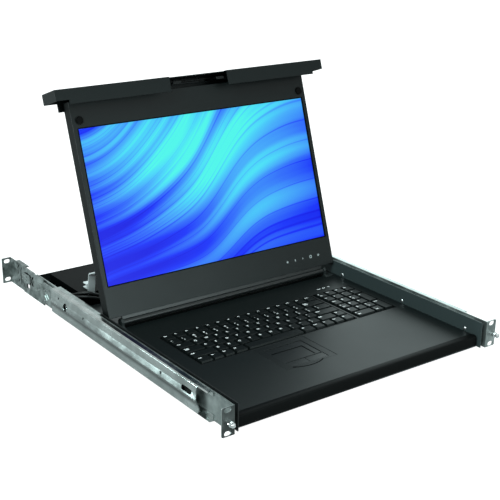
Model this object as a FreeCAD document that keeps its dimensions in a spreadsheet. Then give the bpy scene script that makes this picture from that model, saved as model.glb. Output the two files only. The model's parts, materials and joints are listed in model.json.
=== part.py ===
import FreeCAD, Part
import math
import os
import Sketcher
import Spreadsheet

# Rackmount LCD console drawer.
# Frame: +X to the right, +Y to the rear, +Z up, millimetres.
# The origin is the centre of the front mounting hole pattern, on the front face of the ears.

DRIVING = [
    # rack interface
    ("ear_width", 482.6, "over the two ears"),
    ("hole_margin", 8.75, "hole column to the edge of the ear"),
    ("hole_pitch_z", 31.75, "between the two slots of an ear"),
    ("slot_long", 10.5, "ear slot, end to end"),
    ("slot_high", 6.8, "ear slot, across"),
    ("ear_height", 40.0, "front ear"),
    ("rear_ear_height", 43.6, "rear ear"),
    ("ear_sheet", 1.6, "bracket steel"),
    ("ear_reach", 17.6, "an ear stands out from its plate by"),
    ("rack_depth", 643.0, "front ear face to rear ear face"),
    ("plate_length", 545.0, "front bracket"),
    ("tab_reach", 6.4, "tabs at the top of the front bracket, inward"),
    ("tab_front", 342.0, "front end of the narrower tab"),
    ("tab_middle", 394.0, "between the two tabs"),
    ("tab_rear", 475.0, "rear end of the wider tab"),
    # cabinet rail
    ("rail_sheet", 1.4, "cabinet rail steel"),
    ("rail_stand", 8.0, "upper band of the rail web stands off the plate by"),
    ("rail_ridge", 2.2, "ridge of the web beyond the upper band"),
    ("rail_low_band", 0.6, "lower band of the web beyond the upper band"),
    ("rail_height", 40.0, "cabinet rail"),
    ("lip_top", 14.0, "lower edge of the upper lip"),
    ("lip_low", 11.0, "upper edge of the lower lip, below the middle"),
    ("band_top", 7.0, "the upper band ends at this height"),
    ("band_low", 4.5, "the lower band starts at this depth below the middle"),
    ("rail_bend", 3.0, "outer bend of the cabinet rail"),
    ("rail_front", 42.0, "front end of the rail lips"),
    ("rail_rear", 477.0, "rear end of the cabinet rail"),
    ("web_cut", 24.0, "web set back from the lips"),
    ("rivet_radius", 1.4, "rivet of the cabinet rail"),
    # rear bracket
    ("tongue_gap", 2.9, "tongue of the rear bracket stands off the plate by"),
    ("tongue_height", 36.0, "tongue"),
    ("tongue_front", 362.0, "front end of the tongue"),
    ("shoulder", 512.0, "the plate is as high as the ear from here on"),
    ("doubler", 53.0, "the tongue ends ahead of the ear by"),
    ("clamp_slot", 45.0, "half length of a clamp slot"),
    ("clamp_at", 430.0, "clamp screws"),
    ("clamp_high", 3.4, "upper clamp screw"),
    ("clamp_low", 8.4, "lower clamp screw, below the middle"),
    ("screw_radius", 2.2, "clamp screw"),
    # telescoping members
    ("slide_sheet", 1.0, "slide steel"),
    ("slide_height", 32.6, "fixed member"),
    ("slide_front", 25.0, "front end of the fixed member"),
    ("slide_room", 7.9, "outer face of the bracket plate to the pan"),
    ("ball_size", 2.5, "bearing ball"),
    ("ball_play", 0.05, "play of a ball in its race"),
    ("cage_sheet", 0.4, "ball cage steel"),
    ("cage_gap", 0.3, "cage to the rails beside it"),
    ("cage_length", 150.0, "ball cage"),
    ("middle_front", 60.0, "front end of the middle rail, closed"),
    ("middle_length", 460.0, "middle rail"),
    ("drawer_rail_front", 14.0, "front end of the drawer rail"),
    ("drawer_rail_length", 530.0, "drawer rail"),
    # drawer
    ("pan_sheet", 1.2, "pan steel"),
    ("pan_floor", -19.5, "underside of the pan"),
    ("pan_top", 19.0, "top of the pan walls"),
    ("pan_front", 2.5, "front end of the pan walls"),
    ("floor_front", 9.5, "front end of the pan floor"),
    ("pan_rear", 560.0, "rear end of the pan"),
    ("deck_top", -3.5, "top of the deck"),
    ("deck_sheet", 1.5, "deck"),
    ("deck_front", 20.0, "front edge of the deck"),
    ("side_gap", 0.3, "clearance of a fitted piece"),
    ("trim_front", 8.0, "front face of the trim"),
    ("trim_gap", 3.3, "trim to the outside of the pan"),
    ("trim_bottom", -18.2, "underside of the trim"),
    ("trim_top", -1.8, "top of the trim"),
    # keyboard
    ("room_left", 51.8, "outside of the pan to the key field, left"),
    ("room_right", 21.7, "outside of the pan to the number keys, right"),
    ("block_gap", 7.5, "key field to the number keys"),
    ("keyboard_front", 159.0, "front edge of the key field"),
    ("key_pitch_y", 17.8, "key rows"),
    ("key_gap", 2.4, "between two keys"),
    ("key_top", -1.6, "top of a key"),
    ("key_height", 4.0, "key cap"),
    ("key_taper", 1.1, "cap is narrower at its top by this on each side"),
    ("key_travel", 2.0, "travel of a key"),
    ("well_margin", 3.0, "keyboard base beyond the keys"),
    ("base_sheet", 3.0, "floor of the keyboard base"),
    ("base_foot", 16.0, "foot of the keyboard base, square"),
    ("stem_size", 4.2, "key stem, square"),
    # touchpad
    ("touch_shift", 84.0, "touchpad frame from the left edge of the key field"),
    ("touch_width", 88.0, "touchpad frame"),
    ("touch_depth", 78.0, "touchpad frame"),
    ("touch_gap", 4.0, "touchpad frame to the key field"),
    ("pad_width", 65.0, "touch surface"),
    ("pad_depth", 46.0, "touch surface"),
    ("button_depth", 14.0, "touchpad button"),
    ("button_travel", 0.6, "touchpad button"),
    # lid
    ("hinge_y", 327.5, "hinge axis"),
    ("hinge_z", 5.0, "hinge axis"),
    ("lid_tilt", 18.1, "lid leans back from upright, degrees"),
    ("lid_gap", 2.8, "lid to the outside of the pan"),
    ("lid_face", 5.5, "front face of the lid, ahead of the hinge axis"),
    ("lid_back", 15.3, "back of the lid, behind the hinge axis"),
    ("lid_bottom", 9.5, "lower edge of the lid above the axis"),
    ("lid_wall", 1.6, "lid shell"),
    ("bezel_sheet", 2.0, "screen surround"),
    ("screen_margin", 8.1, "edge of the lid to the visible screen"),
    ("screen_bottom", 56.5, "lower edge of the visible screen above the axis"),
    ("panel_thick", 7.0, "display module"),
    ("panel_border", 4.0, "display module behind the surround"),
    ("bumper_radius", 6.0, "bumper"),
    ("bumper_height", 2.4, "bumper"),
    ("barrel_diameter", 9.5, "hinge barrel"),
    ("hinge_room", 25.8, "outside of the pan to the hinge barrel"),
    ("hinge_pin", 5.0, "hinge pin"),
    ("pin_length", 26.4, "hinge pin"),
    ("pin_play", 0.05, "hinge pin in its bore, radial"),
    # front bar
    ("bar_height", 43.6, "front bar, one rack unit"),
    ("bar_sheet", 1.5, "front bar"),
    ("bar_depth", 16.0, "front bar"),
    ("bar_gap", 0.3, "bar to ears when shut"),
    ("notch_half", 52.0, "half width of the hand notch"),
    ("notch_depth", 9.0, "hand notch"),
    ("striker_length", 14.0, "latch pin ahead of the ear"),
    ("striker_diameter", 8.0, "latch pin"),
    ("striker_neck", 5.0, "groove of the latch pin"),
    ("latch_sheet", 2.0, "latch strip"),
    ("tab_width", 14.0, "thumb tab of the latch"),
    ("guide_width", 16.0, "latch guide"),
    ("guide_inset", 40.0, "latch guide from the end of the hinge barrel"),
    # rear
    ("box_depth", 112.0, "control box"),
    ("box_room", 19.6, "control box to the inside of the pan"),
    ("box_top", 12.0, "control box"),
    ("box_gap", 15.0, "deck to the control box"),
    ("box_play", 3.0, "control box to the rear wall"),
    ("clip_inset", 20.0, "cable clip from the side of the control box"),
    ("clip_width", 8.0, "cable clip"),
    ("socket_depth", 6.0, "rear sockets"),
    ("vent_half", 18.0, "cooling slot"),
    ("vent_radius", 1.6, "cooling slot"),
    ("vent_pitch", 60.0, "cooling slots, across"),
    ("vent_step", 12.0, "cooling slots, along"),
]

doc = FreeCAD.newDocument("console_drawer")
sheet = doc.addObject("Spreadsheet::Sheet", "Dimensions")
numbers = {}
for row, (alias, number, meaning) in enumerate(DRIVING, start=1):
    sheet.set(f"A{row}", meaning)
    sheet.set(f"B{row}", str(number))
    sheet.setAlias(f"B{row}", alias)
    numbers[alias] = number
doc.recompute()


class Size:
    """A number together with the sheet expression that it comes from."""

    def __init__(self, number, text):
        self.number = float(number)
        self.text = text

    def __add__(self, other):
        other = as_size(other)
        return Size(self.number + other.number, f"({self.text} + {other.text})")

    __radd__ = __add__

    def __sub__(self, other):
        other = as_size(other)
        return Size(self.number - other.number, f"({self.text} - {other.text})")

    def __rsub__(self, other):
        return as_size(other) - self

    def __mul__(self, other):
        other = as_size(other)
        return Size(self.number * other.number, f"({self.text} * {other.text})")

    __rmul__ = __mul__

    def __truediv__(self, other):
        other = as_size(other)
        return Size(self.number / other.number, f"({self.text} / {other.text})")

    def __neg__(self):
        return Size(-self.number, f"(0 - {self.text})")

    def __float__(self):
        return self.number


def as_size(value):
    if isinstance(value, Size):
        return value
    return Size(value, repr(float(value)))


class Sizes:
    """Gives each alias of the sheet as an attribute."""

    def __getattr__(self, alias):
        return Size(numbers[alias], f"Dimensions.{alias}")


d = Sizes()


def derive(alias, size, meaning):
    """Adds a size that follows from others, as a formula of the sheet."""
    row = len(numbers) + 1
    sheet.set(f"A{row}", meaning)
    sheet.set(f"B{row}", "=" + size.text.replace("Dimensions.", ""))
    sheet.setAlias(f"B{row}", alias)
    numbers[alias] = size.number


derive("hole_pitch_x", d.ear_width - d.hole_margin * 2, "hole columns of the rack")
derive("bracket_half", d.ear_width / 2 - d.ear_reach, "outer face of a bracket, between the posts")
derive("pan_half", d.bracket_half - d.slide_room, "outer face of a pan wall")
derive("pan_inner", d.pan_half - d.pan_sheet, "inner face of a pan wall")
derive("plate_inner", d.bracket_half - d.ear_sheet, "inner face of a bracket plate")
derive("cage_step", d.cage_sheet + d.cage_gap * 2, "from one rail web to the next")
derive("middle_web", d.plate_inner - d.slide_sheet - d.cage_step, "outer face of the middle rail")
derive("drawer_rail_outer", d.middle_web - d.slide_sheet - d.cage_step, "outer edge of the drawer rail")
derive("middle_inner", d.pan_half + d.side_gap * 2, "inner edge of the middle rail")
derive("slide_inner", d.middle_inner + d.slide_sheet, "inner edge of the fixed member")
derive("trim_half", d.pan_half - d.trim_gap, "half width of the trim")
derive("lid_half", d.pan_half - d.lid_gap, "half width of the lid")
derive("lid_top", d.hinge_y * 1, "upper edge of the lid above the axis")
derive("screen_width", (d.lid_half - d.screen_margin) * 2, "visible screen")
derive("screen_height", d.screen_width * 9 / 16, "visible screen")
derive("barrel_half", d.pan_half - d.hinge_room, "half length of the hinge barrel")
derive("keyboard_left", d.room_left - d.pan_half, "left edge of the key field")
derive("key_pitch_x", (d.pan_half * 2 - d.room_left - d.room_right - d.block_gap) / 18.85, "key columns")
derive("numpad_pitch", d.key_pitch_x * 0.9625, "number key columns")
derive("numpad_left", d.keyboard_left + d.key_pitch_x * 15 + d.block_gap, "left edge of the number keys")
derive("touch_left", d.keyboard_left + d.touch_shift, "left edge of the touchpad frame")
derive("touch_right", d.touch_left + d.touch_width, "right edge of the touchpad frame")
derive("touch_rear", d.keyboard_front - d.touch_gap, "rear edge of the touchpad frame")
derive("touch_front", d.touch_rear - d.touch_depth, "front edge of the touchpad frame")
derive("box_rear", d.pan_rear - d.box_play, "rear of the control box")
derive("box_front", d.box_rear - d.box_depth, "front of the control box")
derive("box_half", d.pan_inner - d.box_room, "half width of the control box")
derive("deck_rear", d.box_front - d.box_gap, "rear edge of the deck")
doc.recompute()

# ---------------------------------------------------------------- sketch helpers

PLANE_ROLE = {"X": "YZ_Plane", "Y": "XZ_Plane", "Z": "XY_Plane"}
# a sketch on the XZ plane looks along -Y, the others along their own axis
NORMAL_SIGN = {"X": 1, "Y": -1, "Z": 1}


def new_body(name):
    body = doc.addObject("PartDesign::Body", name)
    body.Label = name
    return body


def new_sketch(body, axis, at):
    sketch = body.newObject("Sketcher::SketchObject", f"{body.Label}_profile")
    plane = next(f for f in body.Origin.OriginFeatures if f.Role == PLANE_ROLE[axis])
    sketch.AttachmentSupport = [(plane, "")]
    sketch.MapMode = "FlatFace"
    sketch.setExpression(".AttachmentOffset.Base.z", (at * NORMAL_SIGN[axis]).text)
    return sketch


class Drawing:
    """Collects the lines of a sketch and the sizes that hold them, and adds them in one go."""

    def __init__(self, sketch):
        self.sketch = sketch
        self.geometry = []
        self.constraints = []
        self.expressions = []

    def hold(self, constraint, size=None):
        if size is not None:
            self.expressions.append((len(self.constraints), size.text))
        self.constraints.append(constraint)

    def place(self, index, which, x, y):
        """Holds a point of the sketch at x, y from its origin."""
        for kind, value in (("DistanceX", as_size(x)), ("DistanceY", as_size(y))):
            self.hold(Sketcher.Constraint(kind, -1, 1, index, which, value.number), value)

    def outline(self, points):
        corners = [FreeCAD.Vector(float(x), float(y), 0) for x, y in points]
        first = len(self.geometry)
        count = len(corners)
        for i in range(count):
            self.geometry.append(Part.LineSegment(corners[i], corners[(i + 1) % count]))
            self.hold(Sketcher.Constraint("Coincident", first + i, 2, first + (i + 1) % count, 1))
        for i, (x, y) in enumerate(points):
            self.place(first + i, 1, x, y)

    def circle(self, x, y, radius):
        radius = as_size(radius)
        index = len(self.geometry)
        centre = FreeCAD.Vector(float(x), float(y), 0)
        self.geometry.append(Part.Circle(centre, FreeCAD.Vector(0, 0, 1), radius.number))
        self.place(index, 3, x, y)
        self.hold(Sketcher.Constraint("Radius", index, radius.number), radius)

    def slot(self, x, y, half, radius):
        """A slot along the sketch's x, with round ends centred at x - half and x + half."""
        x, y, half, radius = (as_size(v) for v in (x, y, half, radius))
        first = len(self.geometry)
        for side, start in ((1, -math.pi / 2), (-1, math.pi / 2)):
            index = len(self.geometry)
            centre = FreeCAD.Vector((x + half * side).number, y.number, 0)
            circle = Part.Circle(centre, FreeCAD.Vector(0, 0, 1), radius.number)
            self.geometry.append(Part.ArcOfCircle(circle, start, start + math.pi))
            self.place(index, 3, x + half * side, y)
            self.hold(Sketcher.Constraint("Radius", index, radius.number), radius)
            for end in (1, 2):
                self.hold(Sketcher.Constraint("Vertical", index, end, index, 3))
        right, left = first, first + 1
        for level, (a_end, b_end) in ((radius, (2, 1)), (-radius, (1, 2))):
            line = len(self.geometry)
            height = (y + level).number
            self.geometry.append(Part.LineSegment(
                FreeCAD.Vector((x + half).number, height, 0), FreeCAD.Vector((x - half).number, height, 0)))
            self.hold(Sketcher.Constraint("Coincident", line, 1, right, a_end))
            self.hold(Sketcher.Constraint("Coincident", line, 2, left, b_end))

    def finish(self):
        self.sketch.addGeometry(self.geometry, False)
        self.sketch.addConstraint(self.constraints)
        for index, text in self.expressions:
            self.sketch.setExpression(f"Constraints[{index}]", text)


def box_outline(x0, x1, y0, y1):
    return [(x0, y0), (x1, y0), (x1, y1), (x0, y1)]


def draw(sketch, loops):
    """Draws closed loops: ("circle", x, y, radius), ("slot", x, y, half, radius) or a list of corners."""
    drawing = Drawing(sketch)
    for loop in loops:
        if loop[0] == "circle":
            drawing.circle(*loop[1:])
        elif loop[0] == "slot":
            drawing.slot(*loop[1:])
        else:
            drawing.outline(loop)
    drawing.finish()


def extrude(body, axis, loops, start, end, cut=False):
    """Pads or pockets closed loops along an axis, from start to end."""
    start, end = as_size(start), as_size(end)
    if end.number < start.number:
        start, end = end, start
    sketch = new_sketch(body, axis, start)
    draw(sketch, loops)
    before = body.Tip.Shape.Volume if body.Tip else 0.0
    kind = "PartDesign::Pocket" if cut else "PartDesign::Pad"
    feature = body.newObject(kind, f"{body.Label}_{'cut' if cut else 'pad'}")
    feature.Profile = sketch
    feature.setExpression("Length", (end - start).text)
    feature.Reversed = (NORMAL_SIGN[axis] > 0) == cut
    doc.recompute()
    after = feature.Shape.Volume
    if (after >= before - 1e-6) if cut else (after <= before + 1e-6):
        raise RuntimeError(f"{feature.Name} changes nothing: {before} -> {after}")
    return feature


def round_edges(body, radius, choose):
    """Fillets the edges of the body's tip that choose() picks by their middle and direction."""
    tip = body.Tip
    names = []
    for i, edge in enumerate(tip.Shape.Edges, start=1):
        middle = edge.valueAt((edge.FirstParameter + edge.LastParameter) / 2)
        along = edge.tangentAt((edge.FirstParameter + edge.LastParameter) / 2)
        if choose(middle, along, edge):
            names.append(f"Edge{i}")
    if not names:
        raise RuntimeError(f"no edge to round on {body.Label}")
    fillet = body.newObject("PartDesign::Fillet", f"{body.Label}_round")
    fillet.Base = (tip, names)
    fillet.setExpression("Radius", as_size(radius).text)
    doc.recompute()
    return fillet


def compound(name, solids):
    """A piece made of separate solids that share one name."""
    feature = doc.addObject("Part::Feature", name)
    feature.Label = name
    feature.Shape = Part.makeCompound(solids) if len(solids) > 1 else solids[0]
    return feature


def block(x0, x1, y0, y1, z0, z1):
    x0, x1, y0, y1, z0, z1 = (float(v) for v in (x0, x1, y0, y1, z0, z1))
    x0, x1 = min(x0, x1), max(x0, x1)
    return Part.makeBox(x1 - x0, y1 - y0, z1 - z0, FreeCAD.Vector(x0, y0, z0))


def rod(radius, length, base, axis):
    """A cylinder from base along axis."""
    return Part.makeCylinder(float(radius), float(length),
                             FreeCAD.Vector(*(float(v) for v in base)), FreeCAD.Vector(*axis))


def lid_place(feature):
    """Stands a lid piece, made upright about the hinge axis, at the lid's tilt."""
    feature.setExpression(".Placement.Base.y", d.hinge_y.text)
    feature.setExpression(".Placement.Base.z", d.hinge_z.text)
    feature.Placement = FreeCAD.Placement(
        FreeCAD.Vector(0, d.hinge_y.number, d.hinge_z.number),
        FreeCAD.Rotation(FreeCAD.Vector(-1, 0, 0), d.lid_tilt.number))
    feature.setExpression(".Placement.Rotation.Angle", d.lid_tilt.text)


SIDES = (("left", -1), ("right", 1))
pieces = []


def keep(*features):
    pieces.extend(features)


# ---------------------------------------------------------------- front brackets and ears

slot_half = (d.slot_long - d.slot_high) / 2
slide_half = d.slide_height / 2
slide_rear = d.plate_length
rail_half = d.rail_height / 2
rivet_spots = [d.rail_front + (d.tab_front - d.rail_front) * part for part in (0.2, 0.58, 0.95)]
rivet_level = (rail_half + slide_half) / 2


def ear_slots(side):
    """The two rack slots of an ear."""
    column = d.hole_pitch_x / 2 * side
    return [("slot", column, d.hole_pitch_z / 2 * up, slot_half, d.slot_high / 2) for up in (-1, 1)]


def rail_rivet_holes():
    return [("circle", y, rivet_level * up, d.rivet_radius) for y in rivet_spots for up in (-1, 1)]


for name, side in SIDES:
    bracket = new_body(f"front_bracket_{name}")
    ear, face, inner = d.ear_width / 2 * side, d.bracket_half * side, d.plate_inner * side
    plan = [(ear, as_size(0)), (ear, d.ear_sheet), (face, d.ear_sheet), (face, d.plate_length),
            (inner, d.plate_length), (inner, as_size(0))]
    extrude(bracket, "Z", [plan], -d.ear_height / 2, d.ear_height / 2)
    # the fixed member of the slide on the inside of the plate
    web = (d.plate_inner - d.slide_sheet) * side
    edge = d.slide_inner * side
    member = [(inner, -slide_half), (edge, -slide_half), (edge, -slide_half + d.slide_sheet),
              (web, -slide_half + d.slide_sheet), (web, slide_half - d.slide_sheet),
              (edge, slide_half - d.slide_sheet), (edge, slide_half), (inner, slide_half)]
    extrude(bracket, "Y", [member], d.slide_front, slide_rear)
    # two tabs at the top, turned inward
    tabs = [(inner, d.tab_front), (inner, d.tab_rear), ((d.bracket_half - d.ear_sheet - d.tab_reach * 0.92) * side, d.tab_rear),
            ((d.bracket_half - d.ear_sheet - d.tab_reach * 0.92) * side, d.tab_middle),
            ((d.bracket_half - d.ear_sheet - d.tab_reach * 0.72) * side, d.tab_middle),
            ((d.bracket_half - d.ear_sheet - d.tab_reach * 0.72) * side, d.tab_front)]
    extrude(bracket, "Z", [tabs], d.ear_height / 2 - d.ear_sheet, d.ear_height / 2)
    loops = ear_slots(side)
    loops.append(("circle", d.hole_pitch_x / 2 * side, as_size(0), d.striker_neck / 2))
    extrude(bracket, "Y", loops, as_size(-1), d.ear_sheet + 1, cut=True)
    holes = rail_rivet_holes()
    holes += [("circle", d.clamp_at, level, d.screw_radius) for level in (d.clamp_high, -d.clamp_low)]
    extrude(bracket, "X", holes, (d.plate_inner - d.slide_sheet - 1) * side, (d.bracket_half + 1) * side, cut=True)
    round_edges(bracket, 2.0, lambda middle, along, edge: abs(along.y) > 0.99
                and abs(abs(middle.x) - float(d.ear_width) / 2) < 0.01)
    keep(bracket)

# ---------------------------------------------------------------- latch pins on the ears


def latch_pin(side):
    """A turned pin with a groove near its pointed end, its shank pressed into the ear and flush behind it."""
    radius = float(d.striker_diameter) / 2
    neck = float(d.striker_neck) / 2
    tip = float(d.striker_length)
    head_back = tip - 2.2
    groove_back = head_back - 3.2
    profile = [(0, -tip), (neck - 0.6, -tip), (radius - 0.6, -head_back - 0.4), (radius - 0.6, -head_back),
               (neck, -head_back), (neck, -groove_back), (radius, -groove_back + 0.8), (radius, 0),
               (neck - 0.02, 0), (neck - 0.02, float(d.ear_sheet)), (0, float(d.ear_sheet))]
    wire = Part.makePolygon([FreeCAD.Vector(r, y, 0) for r, y in profile + profile[:1]])
    pin = Part.Face(wire).revolve(FreeCAD.Vector(0, 0, 0), FreeCAD.Vector(0, 1, 0), 360)
    pin.translate(FreeCAD.Vector(side * float(d.hole_pitch_x) / 2, 0, 0))
    return pin


keep(compound("latch_pins", [latch_pin(side) for _, side in SIDES]))

# ---------------------------------------------------------------- cabinet rails


def cabinet_profile(side):
    """Section of the cabinet rail: a C on the outside of the plate, with a ridge along its web."""
    steel = d.rail_sheet
    face = d.bracket_half
    up = face + d.rail_stand
    ridge, low = up + d.rail_ridge, up + d.rail_low_band
    points = [(face, d.lip_top), (face, rail_half), (up, rail_half), (up, d.band_top), (ridge, as_size(0)),
              (low, -d.band_low), (low, -rail_half), (face, -rail_half), (face, -d.lip_low),
              (face + steel, -d.lip_low), (face + steel, -rail_half + steel), (low - steel, -rail_half + steel),
              (low - steel, -d.band_low + steel * 0.17), (ridge - steel * 1.055, as_size(0)),
              (up - steel, d.band_top - steel * 0.16), (up - steel, rail_half - steel),
              (face + steel, rail_half - steel), (face + steel, d.lip_top)]
    return [(x * side, z) for x, z in points]


for name, side in SIDES:
    rail = new_body(f"cabinet_rail_{name}")
    extrude(rail, "Y", [cabinet_profile(side)], d.rail_front, d.rail_rear)
    widest = float(d.bracket_half + d.rail_stand)
    for radius, level in ((d.rail_bend, float(rail_half)), (d.rail_bend - d.rail_sheet, float(rail_half - d.rail_sheet))):
        round_edges(rail, radius, lambda middle, along, edge: abs(along.y) > 0.99
                    and abs(abs(middle.z) - level) < 0.01
                    and abs(middle.x) > widest - float(d.rail_sheet) - 0.1)
    # the web starts behind the lips, with a curved front edge
    clear_in = (d.bracket_half + d.rail_sheet + 0.4) * side
    clear_out = (d.bracket_half + d.rail_stand + d.rail_ridge + 1) * side
    top = rail_half - d.rail_sheet
    cut_end = d.rail_front + d.web_cut
    front = d.rail_front - 1
    sweep = [(front, top), (cut_end + 2, top), (cut_end + 4, top - 4), (cut_end + 5.4, top - 9),
             (cut_end + 5, top - 13), (cut_end + 3.2, top - 16.6), (cut_end + 3.4, top - 21.6),
             (cut_end, top - 26), (cut_end - 2, top - 30), (cut_end - 1.8, top - 33.8),
             (cut_end + 1.6, -top), (front, -top)]
    extrude(rail, "X", [sweep], clear_in, clear_out, cut=True)
    extrude(rail, "X", [box_outline(front, d.rail_front + 4, top - 0.01, rail_half + 1)], clear_in, clear_out, cut=True)
    length = d.rail_rear - d.rail_front
    loops = [("slot", d.rail_front + length * 0.115, d.lip_low * 0.5, length * 0.02, d.screw_radius * 1.5),
             ("circle", d.rail_front + length * 0.257, d.lip_low * 0.4, d.screw_radius),
             ("circle", d.rail_front + length * 0.758, d.lip_low * 0.5, d.screw_radius * 0.8),
             ("circle", d.rail_front + length * 0.945, d.lip_low * 0.95, d.screw_radius * 0.8),
             ("circle", d.clamp_at, d.clamp_high, d.screw_radius * 2.8)]
    web_in = (d.bracket_half + d.rail_stand - d.rail_sheet - 0.3) * side
    extrude(rail, "X", loops, web_in, clear_out, cut=True)
    extrude(rail, "X", rail_rivet_holes(), (d.bracket_half - 1) * side, (d.bracket_half + d.rail_sheet) * side, cut=True)
    keep(rail)

# ---------------------------------------------------------------- rear brackets

tongue_in = d.bracket_half + d.tongue_gap
tongue_out = tongue_in + d.ear_sheet
ear_front = d.rack_depth - d.ear_sheet
seam = ear_front - d.doubler
overlap = seam - d.doubler * 0.75
layer_in = tongue_in - d.ear_sheet

for name, side in SIDES:
    bracket = new_body(f"rear_bracket_{name}")
    plan = [(d.ear_width / 2, d.rack_depth), (d.ear_width / 2, ear_front), (tongue_in, ear_front),
            (tongue_in, seam), (tongue_out, seam), (tongue_out, d.tongue_front), (tongue_in, d.tongue_front),
            (tongue_in, overlap), (layer_in, overlap), (layer_in, d.rack_depth)]
    high = d.rear_ear_height / 2
    extrude(bracket, "Z", [[(x * side, y) for x, y in plan]], -high, high)
    # the tongue is lower, so that it runs inside the cabinet rail
    low = d.tongue_height / 2
    for z0, z1 in ((low, high + 1), (-high - 1, -low)):
        extrude(bracket, "Z", [box_outline((tongue_in - 1) * side, (tongue_out + 1) * side,
                                           d.tongue_front - 1, d.shoulder)], z0, z1, cut=True)
    extrude(bracket, "Y", ear_slots(side), ear_front - 1, d.rack_depth + 1, cut=True)
    # a tab at the top, turned inward
    tab = box_outline((tongue_in - d.ear_sheet * 5) * side, layer_in * side, seam - 4, seam + d.doubler * 0.62)
    extrude(bracket, "Z", [tab], high - d.ear_sheet, high)
    # long slots in which the clamp screws run when the depth is set, and windows behind the rail
    slot_middle = d.tongue_front + 14 + d.clamp_slot
    loops = [("slot", slot_middle, level, d.clamp_slot, d.screw_radius + 0.4)
             for level in (d.clamp_high, -d.clamp_low)]
    window = seam - 24
    loops += [box_outline(window, window + 13, -high * 0.56, -high * 0.16),
              ("circle", seam - 6, high * 0.58, d.rivet_radius)]
    extrude(bracket, "X", loops, (layer_in - 1) * side, (tongue_out + 1) * side, cut=True)
    extrude(bracket, "X", [("circle", window - 8, high * 0.3, high * 0.24)],
            tongue_out * side, (tongue_out + d.ear_sheet / 2) * side)
    keep(bracket)


def clamp_screws(side):
    """Screws in the bracket plate whose heads hold the tongue of the rear bracket."""
    solids = []
    start = float(d.plate_inner - d.slide_sheet)
    under = float(tongue_out) + 0.3
    for level in (float(d.clamp_high), -float(d.clamp_low)):
        shank = rod(d.screw_radius, under - start, (side * start, d.clamp_at, level), (side, 0, 0))
        head = rod(d.screw_radius * 2, d.slide_sheet * 1.5, (side * under, d.clamp_at, level), (side, 0, 0))
        solids.append(shank.fuse(head).removeSplitter())
    return solids


keep(compound("clamp_screws", clamp_screws(-1) + clamp_screws(1)))

# ---------------------------------------------------------------- telescoping members

race = d.ball_size + d.ball_play * 2
outer_race = slide_half - d.slide_sheet
middle_half = outer_race - race
inner_race = middle_half - d.slide_sheet
drawer_half = inner_race - race
rivet_rows = [d.drawer_rail_length * part for part in (0.038, 0.283, 0.547, 0.792, 0.962)]


def channel_profile(side, web, edge, half):
    """Section of a channel with its web on one side and two flanges."""
    steel = d.slide_sheet
    inward = -1 if float(web) > float(edge) else 1
    face = web + steel * inward
    return [(web * side, -half), (edge * side, -half), (edge * side, -half + steel),
            (face * side, -half + steel), (face * side, half - steel),
            (edge * side, half - steel), (edge * side, half), (web * side, half)]


for name, side in SIDES:
    middle = new_body(f"middle_rail_{name}")
    extrude(middle, "Y", [channel_profile(side, d.middle_web, d.middle_inner, middle_half)],
            d.middle_front, d.middle_front + d.middle_length)
    loops = [("circle", d.middle_front + d.middle_length * part, as_size(0), middle_half / 4)
             for part in (0.065, 0.283, 0.717, 0.935)]
    extrude(middle, "X", loops, (d.middle_web - d.slide_sheet - 1) * side, (d.middle_web + 1) * side,
            cut=True)
    keep(middle)
    drawer = new_body(f"drawer_rail_{name}")
    extrude(drawer, "Y", [channel_profile(side, d.pan_half, d.drawer_rail_outer, drawer_half)],
            d.drawer_rail_front, d.drawer_rail_front + d.drawer_rail_length)
    loops = [("circle", d.drawer_rail_front + at, as_size(0), as_size(2.2)) for at in rivet_rows]
    extrude(drawer, "X", loops, (d.pan_half - 1) * side, (d.pan_half + d.slide_sheet + 1) * side,
            cut=True)
    keep(drawer)


def ball_cage(side, column, level, front, web):
    """A U-shaped cage with a row of balls above and below; web is its outer face."""
    half = float(level)
    thin = float(d.cage_sheet)
    radius = float(d.ball_size) / 2
    column = float(column)
    length = float(d.cage_length)
    front = float(front)
    outside = float(web)
    solid = block(side * (outside - thin), side * outside, front, front + length, -half - thin / 2, half + thin / 2)
    balls = 4
    for up in (-1, 1):
        z0 = up * half - thin / 2
        solid = solid.fuse(block(side * (column - radius - 0.05), side * outside, front, front + length, z0, z0 + thin))
        for i in range(balls):
            y = front + length * (i + 0.5) / balls
            solid = solid.fuse(Part.makeSphere(radius, FreeCAD.Vector(side * column, y, up * half)))
    return solid.removeSplitter()


outer_level = (outer_race + middle_half) / 2
inner_level = (inner_race + drawer_half) / 2
outer_web = d.middle_web + d.cage_gap + d.cage_sheet
inner_web = d.drawer_rail_outer + d.cage_gap + d.cage_sheet
outer_cage_front = d.middle_front + d.middle_length * 0.37
inner_cage_front = d.middle_front + d.middle_length * 0.326
for name, side in SIDES:
    keep(compound(f"outer_ball_cage_{name}",
                  [ball_cage(side, outer_web - d.ball_size * 0.58, outer_level, outer_cage_front, outer_web)]))
for name, side in SIDES:
    keep(compound(f"inner_ball_cage_{name}",
                  [ball_cage(side, inner_web - d.ball_size * 0.56, inner_level, inner_cage_front, inner_web)]))

# ---------------------------------------------------------------- pan and deck

pan_inside_floor = d.pan_floor + d.pan_sheet
deck_under = d.deck_top - d.deck_sheet
fit = d.pan_inner - d.side_gap

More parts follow.
